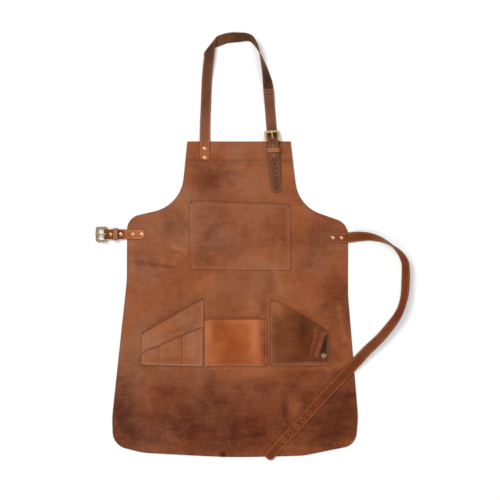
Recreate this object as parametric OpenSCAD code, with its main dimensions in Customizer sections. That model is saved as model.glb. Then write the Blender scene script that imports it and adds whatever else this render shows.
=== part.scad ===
// Leather work apron laid flat on its back: +Y runs to the neck, +Z out of its front.
// The origin is the middle of the whole outline on the surface that the apron lies on.

/* [Leather] */
// Thickness of the body leather
body_t = 1.6; // [1.4:0.1:1.8]
// Thickness of the pocket leather
pocket_t = 1.4; // [1.2:0.1:1.6]
// Thickness of the long straps
strap_t = 2.4; // [2.0:0.1:2.6]
// Thickness of the short buckle straps
chape_t = 2.0; // [1.8:0.1:2.2]
// Thickness of the keeper loops
keeper_t = 1.4; // [1.2:0.1:1.6]
// Width of every strap
strap_w = 25; // [23:0.5:25]

/* [Body] */
// Height of the bib's top edge
bib_top = 258; // [250:1:264]
// Width of the hem folded behind the bib's top edge
hem_w = 48; // [44:1:52]
// Radius of the armhole curves
armhole_r = 92; // [70:1:95]

/* [Pockets] */
// How far a pocket's mouth gapes from the body
pocket_gape = 4.8; // [4.6:0.1:5.4]
// Width of the flat stitched margin round a pocket
pocket_margin = 9; // [8:0.5:11]

/* [Buckles] */
// Length of a buckle across its outer and heel bars
buckle_len = 28; // [27:0.5:29]
// Width of a buckle along its bars
buckle_w = 37; // [36:0.5:38]
// Radius of the heel bar
heel_r = 2; // [1.8:0.1:2.1]
// Width of the prong
prong_w = 3.2; // [2.8:0.1:3.4]

/* [Fastenings] */
// Radius of a rivet's cap
rivet_r = 4.3; // [3.8:0.1:4.5]
// Radius of a rivet's post
post_r = 1.5; // [1.2:0.1:1.6]
// Radius of the eyelet's hole
eyelet_hole_r = 2; // [1.8:0.1:2.4]
// Distance between strap holes
hole_pitch = 22.5; // [21:0.5:23]

/* [Hidden] */
$fn = 48;

grain = [0.55, 0.32, 0.2];
dark_grain = [0.4, 0.22, 0.12];
warm_grain = [0.62, 0.34, 0.2];
strap_grain = [0.48, 0.27, 0.17];
brass = [0.72, 0.58, 0.34];
thread = [0.36, 0.2, 0.12];

lay = 0.1;                     // air between leathers that lie on each other
fit_gap = 0.3;                 // air round anything that moves
pin_gap = 0.06;                // air between a prong's ring and its bar
slice = 0.01;                  // thickness of the thin slices that hulls join
hem_z = 2 * body_t;            // top of the doubled hem
on_body = body_t + lay;
on_hem = hem_z + lay;
hem_ramp = 8;                  // length of the step up to the doubled hem

// ---- Body outline: [x, y, corner radius], anticlockwise from the bib's top right
outline = [
    [94, bib_top, 3], [-160, bib_top, 3], [-176.5, 101, armhole_r], [-308, 70.5, 36], [-309, -85, 300],
    [-345, -420, 250], [-343, -489, 42], [-270, -508, 200], [-50, -519.5, 1500], [125, -515, 150],
    [254, -489, 38], [260, -420, 180], [235, -120, 400], [235.5, 56, 40], [112.5, 99.5, armhole_r]];

// ---- Pocket outlines, anticlockwise; each starts at the right end of its mouth
bib_outline = [[92.5, 102], [-155, 111], [-151, -57], [93.5, -59]];
tool_outline = [[-120, -126], [-272, -213], [-274, -293], [-120, -297]];
tool_gape = [[-120, -126], [-272, -213], [-274, -255], [-120, -190]];
slots_mouth = [[-123, -198], [-174, -218], [-230, -243], [-271, -260]];
slots_foot_y = -294;
centre_outline = [[36, -177.5], [-118, -177.5], [-118, -295.5], [36, -295.5]];
side_outline = [[190, -211], [142, -180], [105, -158.5], [44.5, -129], [44.5, -295.5], [195, -294]];
eyelet_at = [176, -269];

// ---- Strap routes: [x, y, roll about the strap's run, height under its lower edge].
// At roll 0 the grain faces up, at 90 the strap stands on edge, at 180 its rough side is up.
neck_leg = [
    [-117, 212, 0, on_hem], [-117, 230, 0, on_hem], [-117, 250, 0, on_hem], [-117, 264, 0, on_hem],
    [-116, 310, 0, 1.6],
    [-114, 360, 0, 0.4], [-112, 408, 0, 1.6], [-108.5, 446, 0, 5.4], [-106.5, 462, 0, 7.1]];
fold_at = [-104.5, 487];       // middle of the neck strap's diagonal fold
fold_turn = 52;                // direction of the fold line
fold_r = 3.5;                  // radius of the fold at mid thickness
neck_top = [
    [-64, 512, 180, lay], [-50, 513.5, 168, lay], [-30, 513.6, 146, lay], [-18, 514, 135, lay],
    [-7, 512, 122, lay], [0, 507, 115, lay], [7, 498, 106, lay], [12.5, 488, 98, lay],
    [17, 478, 90, lay], [21.5, 464, 78, lay], [26, 450, 66, lay], [30.5, 434, 54, lay],
    [34.5, 416, 38, lay], [37.5, 401, 18, lay], [38.8, 391, 0, lay], [40, 375, 0, lay],
    [41.4, 360, 0, lay]];
waist_route = [
    [198, 21, 0, on_body], [210, 21, 0, on_body], [226, 21, 0, on_body], [240, 22, 0, on_body],
    [258, 24, -16, 1.2],
    [284, 24, -40, 0.4], [300, 21, -52, lay], [316, 16, -66, lay], [329, 10, -78, lay],
    [342, 2, -87, lay], [354, -8, -76, lay], [364, -19, -64, lay], [372, -33, -56, lay],
    [376.3, -50, -48, lay], [375.8, -92, -43, lay], [373.5, -120, -48, lay], [367, -146, -52, lay],
    [356, -171, -46, lay], [339, -195, -36, lay], [314, -225, -30, lay], [282, -256, -20, 0.6],
    [254, -286, -8, 2.2], [236, -306, 0, 2.2], [180, -365, 0, on_body], [112, -440, 0, on_body],
    [44, -513, 0, on_body]];
waist_rivets = [[198, 21], [219, 21]];
neck_rivets = [[-117, 240], [-117, 217.5]];
waist_hole_from = [140, -411]; // first buckle hole in the waist strap

// ---- Buckle sets, in their own axes: heel bar on Y at x = 0, the short strap runs to +x
waist_set = [[-361, 29.5], 0];
neck_set = [[49.5, 260.7], -85.4];
neck_chape_y = -1;             // the neck's short strap lies a little to one side
chape_w = strap_w - 1;
rivet_xs = [13.8, 38, 67.4, 89.3];
chape_end = 97;                // riveted end of the short strap
chape_back = 44.3;             // end of its folded-back layer
step_from = 50;                // where the neck's short strap starts down to the bib
step_to = 63;
nip_x = 9.5;                   // where the folded-back layer meets the lower one
keeper_x = 25;                 // middle of a keeper
keeper_len = 11.2;
keeper_w = 30;                 // outside width of a keeper
keeper_h = 11.9;               // outside height of a keeper
wrap_r = heel_r + fit_gap;     // inside of the leather round the heel bar
waist_low = body_t + 2 * lay;  // underside of the waist's short strap
neck_low = hem_z + keeper_t + fit_gap + lay; // underside of the neck's short strap at its buckle
bar_t = 4.4;                   // thickness of a buckle's frame
bar_w = 4.5;                   // width of a frame's side bars
outer_bar_w = 5.5;             // width of the bar that the prong rests on
heel_over = 4;                 // how far the side bars run past the heel bar
outer_x = buckle_len - heel_over;        // heel bar's middle to the outer bar's far edge
rest_x = outer_x - outer_bar_w / 2;      // heel bar's middle to the outer bar's middle
ring_t = 1.4;                  // wall of the prong's ring
prong_t = 2.4;
slot_w = 5.4;                  // slot in the short strap that clears the prong's ring
slot_x = 6;                    // end of that slot
cap_h = 1.3;                   // height of a rivet's domed cap
cap_edge = 0.4;                // height of a cap's upright rim
socket = 0.6;                  // depth of the cap's socket on the post
back_t = 0.8;                  // thickness of a rivet's back disc

waist_heel_z = waist_low + chape_t + wrap_r;
neck_heel_z = neck_low + chape_t + wrap_r;
waist_tilt = asin((waist_heel_z - bar_t / 2 - lay) / outer_x);
neck_tilt = asin((neck_heel_z - bar_t / 2 - strap_t - fit_gap - 2 * lay) / outer_x);

// ---- Eyelet
barrel_r = eyelet_hole_r + 0.8;
flange_r = 6.3;
flange_t = 1;
washer_t = 0.8;

// ---- The adjusting strap, along its own run: [distance past the heel bar, height of its underside]
splice_from = -127;
splice_z = strap_t + 0.8;
tail_end = 129;
over_bar = neck_heel_z + wrap_r + chape_t + 2 * lay;
over_caps = neck_low + 2 * chape_t + lay + cap_h + 4 * lay;
over_low_caps = on_body + chape_t + cap_h + 3 * lay;
tail_path = [
    [splice_from, splice_z], [-98, splice_z], [-86, lay], [-60, lay], [-18, lay], [-16, 1],
    [-7, 9.9], [-4, 12.9], [-1, over_bar], [2, over_bar], [5, 13.2], [10, 11.4], [14, over_caps],
    [44, over_caps], [53, 8.4], [62, over_low_caps + 0.4], [68, over_low_caps],
    [94, over_low_caps], [103, 3.2], [112, on_body + lay], [tail_end, on_body + lay]];
tail_holes = [14.5, 37, 59.5, 82]; // holes past the one that the prong uses
used_hole = [-8.2, 10.6];        // middle and stretched length of the hole that the prong uses
strap_hole_r = 2.1;

// ---- Helpers
function unit(v) = v / norm(v);
function flat(p) = [p.x, p.y];
function turn(a) = [cos(a), sin(a)];
function ease(t) = (1 - cos(180 * max(0, min(1, t)))) / 2;
function last(list) = list[len(list) - 1];

// Arc that rounds one corner of an outline
function corner_arc(before, at, after) =
    let (p = flat(at), a = unit(flat(before) - p), b = unit(flat(after) - p),
        half = acos(a * b) / 2, r = at.z, mid = p + unit(a + b) * r / sin(half),
        from = p + a * r / tan(half) - mid, to = p + b * r / tan(half) - mid,
        start = atan2(from.y, from.x), swing = (atan2(to.y, to.x) - start + 540) % 360 - 180,
        n = max(3, ceil(abs(swing) / 6)))
    [for (i = [0:n]) mid + r * turn(start + swing * i / n)];
function rounded(c) = [for (i = [0:len(c) - 1])
    each corner_arc(c[(i + len(c) - 1) % len(c)], c[i], c[(i + 1) % len(c)])];

// Outline moved inwards by its own distance on each edge
function edge_normal(c, i) = let (d = unit(c[(i + 1) % len(c)] - c[i])) [-d.y, d.x];
function crossing(p, n, q, m) =
    let (a = n * p, b = m * q, det = n.x * m.y - n.y * m.x)
    [(a * m.y - b * n.y) / det, (n.x * b - m.x * a) / det];
function inset(c, d) = [for (i = [0:len(c) - 1])
    let (j = (i + len(c) - 1) % len(c), n = edge_normal(c, i), m = edge_normal(c, j))
    crossing(c[i] + n * d[i], n, c[i] + m * d[j], m)];

// Outline of a band of width w along a flat path
function path_dir(p, i) = unit((i < len(p) - 1 ? unit(p[i + 1] - p[i]) : [0, 0])
    + (i > 0 ? unit(p[i] - p[i - 1]) : [0, 0]));
function path_side(p, i, w) =
    let (d = path_dir(p, i), back = i > 0 ? unit(p[i] - p[i - 1]) : d, n = [-d.y, d.x])
    p[i] + n * w / 2 / max(0.5, d * back);
function band(p, w) = concat([for (i = [0:len(p) - 1]) path_side(p, i, w)],
    [for (i = [len(p) - 1:-1:0]) path_side(p, i, -w)]);

// Smooth curve through points of any dimension
function spline(p, n) = concat([for (i = [0:len(p) - 2])
    let (a = p[max(i - 1, 0)], b = p[i], c = p[i + 1], d = p[min(i + 2, len(p) - 1)])
    for (k = [0:n - 1]) let (t = k / n)
        0.5 * (2 * b + (c - a) * t + (2 * a - 5 * b + 4 * c - d) * t * t
            + (3 * b - a - 3 * c + d) * t * t * t)], [last(p)]);

// A strap is a run of rungs [left point, right point] joined into a strip
function strap_centre(s) = [s.x, s.y,
    s[3] + abs(sin(s[2])) * strap_w / 2 + abs(cos(s[2])) * strap_t / 2];
function rung(c, run, roll, half) =
    let (t = unit(run), side = unit([t.y, -t.x, 0]), up = cross(side, t),
        s = side * cos(roll) + up * sin(roll))
    [c - s * half, c + s * half];
function rungs(route) =
    let (s = spline(route, 3), c = [for (q = s) strap_centre(q)], n = len(s) - 1)
    [for (i = [0:n]) rung(c[i], c[min(i + 1, n)] - c[max(i - 1, 0)], s[i][2], strap_w / 2)];
// Extra rungs that round off an end; way is 1 at the far end and -1 at the start
function round_end(rung_in, run, way) =
    let (mid = (rung_in[0] + rung_in[1]) / 2, s = (rung_in[1] - rung_in[0]) / 2, t = unit(run) * way)
    [for (a = way > 0 ? [15:15:75] : [75:-15:15])
        [mid - s * cos(a) + t * norm(s) * sin(a), mid + s * cos(a) + t * norm(s) * sin(a)]];
// Rungs along the fold line, from the upper layer round to the lower one
function fold_rungs(leg_turn, z_mid) =
    let (gap = leg_turn - fold_turn, u = turn(fold_turn), n = [-u.y, u.x],
        half = strap_w / 2 / sin(gap))
    [for (a = [0:22.5:180])
        let (shift = fold_r * a * PI / 180 / tan(gap),
            c = fold_at + n * fold_r * sin(a), z = z_mid + fold_r * cos(a),
            p = c + u * (shift - half), q = c + u * (shift + half))
        [[p.x, p.y, z], [q.x, q.y, z]]];

function rung_mid(r) = (r[0] + r[1]) / 2;
function rung_normal(r, i) =
    let (run = rung_mid(r[min(i + 1, len(r) - 1)]) - rung_mid(r[max(i - 1, 0)]))
    unit(cross(r[i][1] - r[i][0], run));
module strip(r, t) {
    n = len(r);
    points = [for (i = [0:n - 1]) let (h = rung_normal(r, i) * t / 2)
        each [r[i][0] + h, r[i][1] + h, r[i][1] - h, r[i][0] - h]];
    sides = [for (i = [0:n - 2], k = [0:3])
        let (a = 4 * i + k, b = 4 * i + (k + 1) % 4)
        each [[a, b + 4, b], [a, a + 4, b + 4]]];
    e = 4 * n - 4;
    ends = [[1, 2, 3], [0, 1, 3], [e + 2, e + 1, e], [e + 3, e + 2, e]];
    polyhedron(points, concat(sides, ends));
}
module at_set(set) translate(concat(set[0], [0])) rotate([0, 0, set[1]]) children();
module post_hole(at, from, to) translate([at.x, at.y, from]) cylinder(r = post_r + lay, h = to - from);

// ---- Body
module side_profile() polygon(concat(
    [[-540, 0], [bib_top - hem_w - hem_ramp, 0], [bib_top - hem_w, body_t], [bib_top - hem_w, 0]],
    [for (a = [-90:15:90]) [bib_top - body_t, body_t] + body_t * turn(a)],
    [[bib_top - hem_w, hem_z], [bib_top - hem_w - hem_ramp, body_t], [-540, body_t]]));
// Where rivets pass the body; each leaves a sunk seat for its back disc
function set_point(set, x, y) = set[0] + x * turn(set[1]) + y * turn(set[1] + 90);
body_rivets = concat(neck_rivets, waist_rivets,
    [for (i = [2, 3]) set_point(waist_set, rivet_xs[i], 0)],
    [for (i = [2, 3]) set_point(neck_set, rivet_xs[i], neck_chape_y)]);
module apron_body() color(grain) difference() {
    intersection() {
        linear_extrude(hem_z) polygon(rounded(outline));
        rotate([90, 0, 90]) translate([0, 0, -400]) linear_extrude(800) side_profile();
    }
    for (p = body_rivets) {
        post_hole(p, -1, hem_z + 1);
        translate([p.x, p.y, -1]) cylinder(r = rivet_r + lay, h = 1 + back_t);
    }
    translate([eyelet_at.x, eyelet_at.y, -1]) {
        cylinder(r = barrel_r + lay, h = 4);
        cylinder(r = flange_r + lay, h = 1 + washer_t);
    }
}

// ---- Pockets: a flat margin and a front that gapes at the mouth
// foot and crest are the distances from each edge to where the gape starts and is full
module gape(c, foot, crest, from, low, high) hull() {
    translate([0, 0, from]) linear_extrude(low - from + slice) polygon(inset(c, foot));
    translate([0, 0, high]) linear_extrude(slice) polygon(inset(c, crest));
}
module gape_skin(c, foot, crest, z) gape(c, [for (d = foot) max(0, d - pocket_t)],
    [for (d = crest) max(0, d - pocket_t / 2)], z, z, z + pocket_gape + pocket_t - slice);
module gape_space(c, foot, crest, z) gape(c, [for (d = foot) d > 0 ? d : -2],
    [for (d = crest) d > 0 ? d : -2], z - 1, z, z + pocket_gape);
module pocket(panel, c, foot, crest) difference() {
    union() {
        translate([0, 0, on_body]) linear_extrude(pocket_t) polygon(panel);
        gape_skin(c, foot, crest, on_body);
    }
    gape_space(c, foot, crest, on_body);
}
m = pocket_margin;
slope = 14;                    // run of a pocket's side from its margin to full gape
divider = 3;                   // half width of the flat strip at a dividing seam
on_pocket = on_body + pocket_t + lay;
slots_outline = concat(slots_mouth,
    [[last(slots_mouth).x, slots_foot_y + 2], [slots_mouth[0].x, slots_foot_y - 2]]);
function slot_outline(i) = let (p = slots_mouth[i], q = slots_mouth[i + 1])
    [p, q, [q.x, slots_foot_y], [p.x, slots_foot_y]];
// The outer slots keep the pocket's stitched margin on their outer side
slot_foot = [for (i = [0:2]) [0, i == 2 ? m : divider, m, i == 0 ? m : divider]];
slot_rise = [0, 8, 11, 8];

module bib_pocket() color(grain)
    pocket(bib_outline, bib_outline, [0, m, m, m], [0, m + slope, 95, m + slope]);
module tool_pocket() color(grain)
    pocket(tool_outline, tool_gape, [0, m, 3, m], [0, m + slope, 20, m + slope]);
module tool_slots() color(grain) difference() {
    union() {
        translate([0, 0, on_pocket]) linear_extrude(pocket_t) polygon(slots_outline);
        for (i = [0:2]) gape_skin(slot_outline(i), slot_foot[i], slot_foot[i] + slot_rise, on_pocket);
    }
    for (i = [0:2]) gape_space(slot_outline(i), slot_foot[i], slot_foot[i] + slot_rise, on_pocket);
}
module centre_pocket() color(warm_grain)
    pocket(centre_outline, centre_outline, [0, m, m, m], [0, m + slope, 60, m + slope]);
module side_pocket() color(dark_grain) difference() {
    pocket(side_outline, side_outline, [0, 0, 0, m, 42, m], [0, 0, 0, m + slope, 76, m + slope]);
    translate([eyelet_at.x, eyelet_at.y, 0]) cylinder(r = barrel_r + lay, h = 12);
}

// ---- Eyelet through the side pocket and the body
module pocket_eyelet() color(brass) translate([eyelet_at.x, eyelet_at.y, 0]) {
    low = on_body + pocket_t;
    rotate_extrude() polygon([[eyelet_hole_r, lay], [barrel_r, lay], [barrel_r, low], [flange_r, low],
        [flange_r - 0.7, low + 0.7 * flange_t], [barrel_r + 0.8, low + flange_t],
        [eyelet_hole_r, low + flange_t - lay]]);
}
module eyelet_washer() color(brass) translate([eyelet_at.x, eyelet_at.y, 0]) difference() {
    cylinder(r = flange_r, h = washer_t);
    translate([0, 0, -1]) cylinder(r = barrel_r + lay / 2, h = washer_t + 2);
}

// ---- Rivets: [place, top of its back disc, underside of its cap]
module rivet_cap(at) translate([at[0].x, at[0].y, at[2]]) rotate_extrude() polygon(concat(
    [[0, socket], [post_r + lay / 2, socket], [post_r + lay / 2, 0], [rivet_r, 0]],
    [for (a = [0:15:90]) [rivet_r * cos(a), cap_edge + (cap_h - cap_edge) * sin(a)]]));
module rivet_post(at) translate([at[0].x, at[0].y, at[1] - back_t]) {
    cylinder(r = rivet_r, h = back_t);
    cylinder(r = post_r, h = at[2] - at[1] + back_t + socket - lay);
}
function set_rivets(set, y, low, end) = [for (i = [0:3]) let (p = set_point(set, rivet_xs[i], y))
    i < 2 ? [p, low, low + 2 * chape_t + lay] : [p, back_t, end + chape_t]];
neck_strap_rivets = [for (p = neck_rivets) [p, back_t, on_hem + strap_t]];
waist_strap_rivets = [for (p = waist_rivets) [p, back_t, on_body + strap_t]];
neck_chape_rivets = set_rivets(neck_set, neck_chape_y, neck_low, on_body);
waist_chape_rivets = set_rivets(waist_set, 0, waist_low, waist_low);
module neck_strap_rivet_caps() color(brass) for (r = neck_strap_rivets) rivet_cap(r);
module neck_strap_rivet_posts() color(brass) for (r = neck_strap_rivets) rivet_post(r);
module neck_chape_rivet_caps() color(brass) for (r = neck_chape_rivets) rivet_cap(r);
module neck_chape_rivet_posts() color(brass) for (r = neck_chape_rivets) rivet_post(r);
module waist_strap_rivet_caps() color(brass) for (r = waist_strap_rivets) rivet_cap(r);
module waist_strap_rivet_posts() color(brass) for (r = waist_strap_rivets) rivet_post(r);
module waist_chape_rivet_caps() color(brass) for (r = waist_chape_rivets) rivet_cap(r);
module waist_chape_rivet_posts() color(brass) for (r = waist_chape_rivets) rivet_post(r);

// ---- Long straps
neck_rungs = let (leg = rungs(neck_leg), n = len(neck_leg), run = neck_leg[n - 1] - neck_leg[n - 2],
    z = last(neck_leg)[3] + strap_t / 2 - fold_r)
    concat(leg, fold_rungs(atan2(run.y, run.x), z), rungs(neck_top));
waist_rungs = let (r = rungs(waist_route), n = len(r))
    concat(round_end(r[0], rung_mid(r[1]) - rung_mid(r[0]), -1), r,
        round_end(r[n - 1], rung_mid(r[n - 1]) - rung_mid(r[n - 2]), 1));
module neck_strap() color(strap_grain) difference() {
    strip(neck_rungs, strap_t);
    for (p = neck_rivets) post_hole(p, 0, 10);
}
module waist_strap() color(strap_grain) difference() {
    n = len(waist_route);
    run = unit(flat(waist_route[n - 1] - waist_route[n - 3]));
    strip(waist_rungs, strap_t);
    for (p = waist_rivets) post_hole(p, 0, 10);
    for (i = [0:4]) let (p = waist_hole_from + run * i * hole_pitch)
        translate([p.x, p.y, 0]) cylinder(r = strap_hole_r, h = 10);
}

// ---- Leather bands that lie flat: a side view of the path, cut to a plan with rounded ends
module side_band(path, t, w) rotate([90, 0, 0]) translate([0, 0, -w / 2]) linear_extrude(w)
    polygon(band(path, t));
module plan(from, to, w, r_from, r_to) translate([0, 0, -1]) linear_extrude(30)
    polygon(rounded([[from, -w / 2, r_from], [to, -w / 2, r_to], [to, w / 2, r_to], [from, w / 2, r_from]]));
module neck_adjusting_strap() color(strap_grain) at_set(neck_set) difference() {
    intersection() {
        side_band([for (p = tail_path) p + [0, strap_t / 2]], strap_t, strap_w);
        plan(splice_from, tail_end, strap_w, 2, strap_w / 2 - 1);
    }
    for (x = tail_holes) translate([x, 0, 0]) cylinder(r = strap_hole_r, h = 20);
    translate([used_hole[0], 0, 0]) for (way = [-1, 1])
        translate([way * (used_hole[1] / 2 - strap_hole_r), 0, 0]) cylinder(r = strap_hole_r, h = 20);
    translate([used_hole[0] - used_hole[1] / 2 + strap_hole_r, -strap_hole_r, 0])
        cube([used_hole[1] - 2 * strap_hole_r, 2 * strap_hole_r, 20]);
}

// ---- Short strap folded round the heel bar
function chape_path(low, end, heel_z) = let (t = chape_t, r = wrap_r + t / 2, top = low + 1.5 * t + lay)
    concat([[chape_end, end + t / 2]],
        [for (i = [0:6]) [step_to + (step_from - step_to) * i / 6, end + (low - end) * ease(i / 6) + t / 2]],
        [for (a = [-90:-15:-270]) [0, heel_z] + r * turn(a)],
        [for (i = [1:6]) [nip_x * i / 6, heel_z + r + (top - heel_z - r) * ease(i / 6)]],
        [[chape_back, top]]);
module chape(low, end, heel_z) difference() {
    intersection() {
        side_band(chape_path(low, end, heel_z), chape_t, chape_w);
        plan(-10, chape_end, chape_w, 1, chape_w / 2 - 1);
    }
    translate([-10, -slot_w / 2, 0]) cube([10 + slot_x, slot_w, 30]);
    for (x = rivet_xs) post_hole([x, 0], 0, 20);
}
module neck_chape() color(strap_grain) at_set(neck_set) translate([0, neck_chape_y, 0])
    chape(neck_low, on_body, neck_heel_z);
module waist_chape() color(warm_grain) at_set(waist_set) chape(waist_low, waist_low, waist_heel_z);

// ---- Keepers
module keeper(z) translate([keeper_x - keeper_len / 2, 0, z]) rotate([90, 0, 90])
    linear_extrude(keeper_len) difference() {
        polygon(rounded(keeper_loop(0, 2.4)));
        polygon(rounded(keeper_loop(keeper_t, 1)));
    }
function keeper_loop(d, r) = let (w = keeper_w / 2 - d)
    [[-w, d, r], [w, d, r], [w, keeper_h - d, r], [-w, keeper_h - d, r]];
module neck_keeper() color(warm_grain) at_set(neck_set) keeper(hem_z + lay);
module waist_keeper() color(strap_grain) at_set(waist_set) keeper(lay);

// ---- Buckles
module buckle_axes(set, heel_z, tilt) at_set(set) translate([0, 0, heel_z]) rotate([0, -tilt, 0])
    children();
module frame() {
    w = buckle_w / 2;
    translate([0, 0, -bar_t / 2]) linear_extrude(bar_t) difference() {
        polygon(rounded([[-outer_x, -w, 5], [heel_over, -w, 2], [heel_over, w, 2], [-outer_x, w, 5]]));
        polygon(rounded([[-outer_x + outer_bar_w, -w + bar_w, 3], [heel_over + 5, -w + bar_w, 1],
            [heel_over + 5, w - bar_w, 1], [-outer_x + outer_bar_w, w - bar_w, 3]]));
    }
    rotate([90, 0, 0]) cylinder(r = heel_r, h = buckle_w - bar_w, center = true);
}
module prong() difference() {
    union() {
        rotate([90, 0, 0]) cylinder(r = heel_r + pin_gap + ring_t, h = prong_w, center = true);
        side_band([[-1, 2.2], [-5, 3], [-15, 3.6], [-rest_x - 1, 3.8], [-outer_x - 0.5, 3.4]],
            prong_t, prong_w);
    }
    rotate([90, 0, 0]) cylinder(r = heel_r + pin_gap, h = prong_w + 2, center = true);
}
module neck_buckle_frame() color(brass) buckle_axes(neck_set, neck_heel_z, neck_tilt) frame();
module neck_buckle_prong() color(brass) buckle_axes(neck_set, neck_heel_z, neck_tilt) prong();
module waist_buckle_frame() color(brass) buckle_axes(waist_set, waist_heel_z, waist_tilt) frame();
module waist_buckle_prong() color(brass) buckle_axes(waist_set, waist_heel_z, waist_tilt) prong();

// ---- Stitching: thread laid along each seam
thread_w = 0.9;
thread_h = 0.5;
seam_gap = 5;                  // between the two rows of a double seam
edge_gap = 2.5;                // from a pocket's edge to its outer row
module thread_line(path, z) color(thread) translate([0, 0, z]) linear_extrude(thread_h)
    polygon(band(path, thread_w));
// The seam round a pocket: every edge but its mouth
module pocket_seam(c, mouth, d, z) {
    p = inset(c, [for (i = [0:len(c) - 1]) i < mouth ? 1 : d]);
    thread_line(concat([for (i = [mouth:len(p) - 1]) p[i]], [p[0]]), z);
}
module double_seam(c, mouth, z) for (d = [edge_gap, edge_gap + seam_gap]) pocket_seam(c, mouth, d, z);
module hem_stitching() for (run = [[-164, -132], [-102, 97]])
    thread_line([[run[0], bib_top - hem_w + 2], [run[1], bib_top - hem_w + 2]], hem_z);
module bib_stitching() double_seam(bib_outline, 1, on_body + pocket_t);
// Above the slots' leather; below it the tool pocket's seams go through that leather too
module tool_stitching() for (d = [edge_gap, edge_gap + seam_gap]) {
    thread_line([[-272.5 + d, -214], [-272.5 + d, -256]], on_body + pocket_t);
    thread_line([[-120 - d, -132], [-120 - d, -195]], on_body + pocket_t);
}
module slot_stitching() {
    double_seam(slots_outline, 3, on_pocket + pocket_t);
    for (p = [slots_mouth[1], slots_mouth[2]])
        thread_line([[p.x, p.y - 2], [p.x, slots_foot_y + 10.5]], on_pocket + pocket_t);
}
module centre_stitching() double_seam(centre_outline, 1, on_body + pocket_t);
module side_stitching() double_seam(side_outline, 3, on_body + pocket_t);
module splice_stitching() at_set(neck_set) for (x = [-123, -113])
    thread_line([[x, -strap_w / 2 + 3], [x, strap_w / 2 - 3]], splice_z + strap_t);

apron_body();
bib_pocket();
tool_pocket();
tool_slots();
centre_pocket();
side_pocket();
pocket_eyelet();
eyelet_washer();
neck_strap();
neck_adjusting_strap();
neck_chape();
neck_buckle_frame();
neck_buckle_prong();
neck_keeper();
waist_chape();
waist_buckle_frame();
waist_buckle_prong();
waist_keeper();
waist_strap();
neck_strap_rivet_caps();
neck_strap_rivet_posts();
neck_chape_rivet_caps();
neck_chape_rivet_posts();
waist_strap_rivet_caps();
waist_strap_rivet_posts();
waist_chape_rivet_caps();
waist_chape_rivet_posts();
hem_stitching();
bib_stitching();
tool_stitching();
slot_stitching();
centre_stitching();
side_stitching();
splice_stitching();
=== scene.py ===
"""Leather work apron laid on its back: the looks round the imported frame. Metres, +Y to the neck, +Z up."""

import math
import random

import bpy
import numpy as np
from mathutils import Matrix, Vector, geometry


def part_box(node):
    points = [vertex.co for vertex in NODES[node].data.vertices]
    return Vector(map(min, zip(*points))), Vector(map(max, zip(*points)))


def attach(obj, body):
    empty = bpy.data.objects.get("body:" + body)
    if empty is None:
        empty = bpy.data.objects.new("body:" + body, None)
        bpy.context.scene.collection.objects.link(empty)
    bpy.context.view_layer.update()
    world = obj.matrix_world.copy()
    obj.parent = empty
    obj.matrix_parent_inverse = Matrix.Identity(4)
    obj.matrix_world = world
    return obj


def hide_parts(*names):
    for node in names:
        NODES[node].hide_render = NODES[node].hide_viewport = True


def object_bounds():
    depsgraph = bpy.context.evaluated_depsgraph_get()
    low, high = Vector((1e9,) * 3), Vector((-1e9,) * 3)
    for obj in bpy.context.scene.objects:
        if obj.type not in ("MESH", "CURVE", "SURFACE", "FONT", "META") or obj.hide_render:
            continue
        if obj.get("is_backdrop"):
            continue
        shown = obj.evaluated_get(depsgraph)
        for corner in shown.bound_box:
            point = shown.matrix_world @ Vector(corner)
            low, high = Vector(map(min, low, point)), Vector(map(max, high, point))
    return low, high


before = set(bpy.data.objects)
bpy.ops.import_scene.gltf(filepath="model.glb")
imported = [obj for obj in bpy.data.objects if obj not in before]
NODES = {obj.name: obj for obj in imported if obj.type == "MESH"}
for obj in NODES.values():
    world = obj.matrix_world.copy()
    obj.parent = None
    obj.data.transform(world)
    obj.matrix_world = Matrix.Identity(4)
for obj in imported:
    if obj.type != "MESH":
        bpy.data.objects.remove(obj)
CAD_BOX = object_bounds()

MM = 0.001
ROOT = "apron"

# ---- Sizes shared with the frame
HEM_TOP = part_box("apron_body")[1].z
BODY_T = HEM_TOP / 2
POCKET_T = 1.4 * MM
STRAP_T = 2.4 * MM
STRAP_W = 25 * MM
CHAPE_T = 2.0 * MM
CHAPE_W = 24 * MM
KEEPER_T = 1.4 * MM
GAPE = 4.8 * MM
MARGIN = 9 * MM
AIR = 0.1 * MM
ON_BODY = BODY_T + AIR
ON_POCKET = ON_BODY + POCKET_T + AIR
BIB_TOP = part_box("apron_body")[1].y
HEM_W = 48 * MM
HEM_RAMP = 8 * MM
HEM_LEFT, HEM_RIGHT = -160 * MM, 94 * MM

STRAP_HOLE_R = 2.1 * MM
EYELET = (0.176, -0.269)
EYELET_HOLE_R = 2.8 * MM


# ---------------------------------------------------------------- flat geometry
def unit(v):
    return v / np.linalg.norm(v)


def left_of(d):
    """The direction a quarter turn to the left of d."""
    return np.array([-d[1], d[0]])


def run_lengths(points):
    """How far along its path each point is."""
    return np.concatenate([[0], np.cumsum(np.linalg.norm(np.diff(points, axis=0), axis=1))])


def read_table(s, at, table):
    """The row of a table between its rows at the stations, for station s."""
    return np.array([np.interp(s, at, column) for column in table.T])


def mm_path(points):
    return [np.array(p) * MM for p in points]


def metres(table, kept=1):
    """Rows in millimetres as rows in metres, but for the last values of each, which are kept as they are."""
    return [tuple(v / 1000 for v in row[:len(row) - kept]) + row[len(row) - kept:] for row in table]


def ease(t):
    t = min(max(t, 0.0), 1.0)
    return (1 - math.cos(math.pi * t)) / 2


def turn(degrees):
    return np.array([math.cos(math.radians(degrees)), math.sin(math.radians(degrees))])


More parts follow.
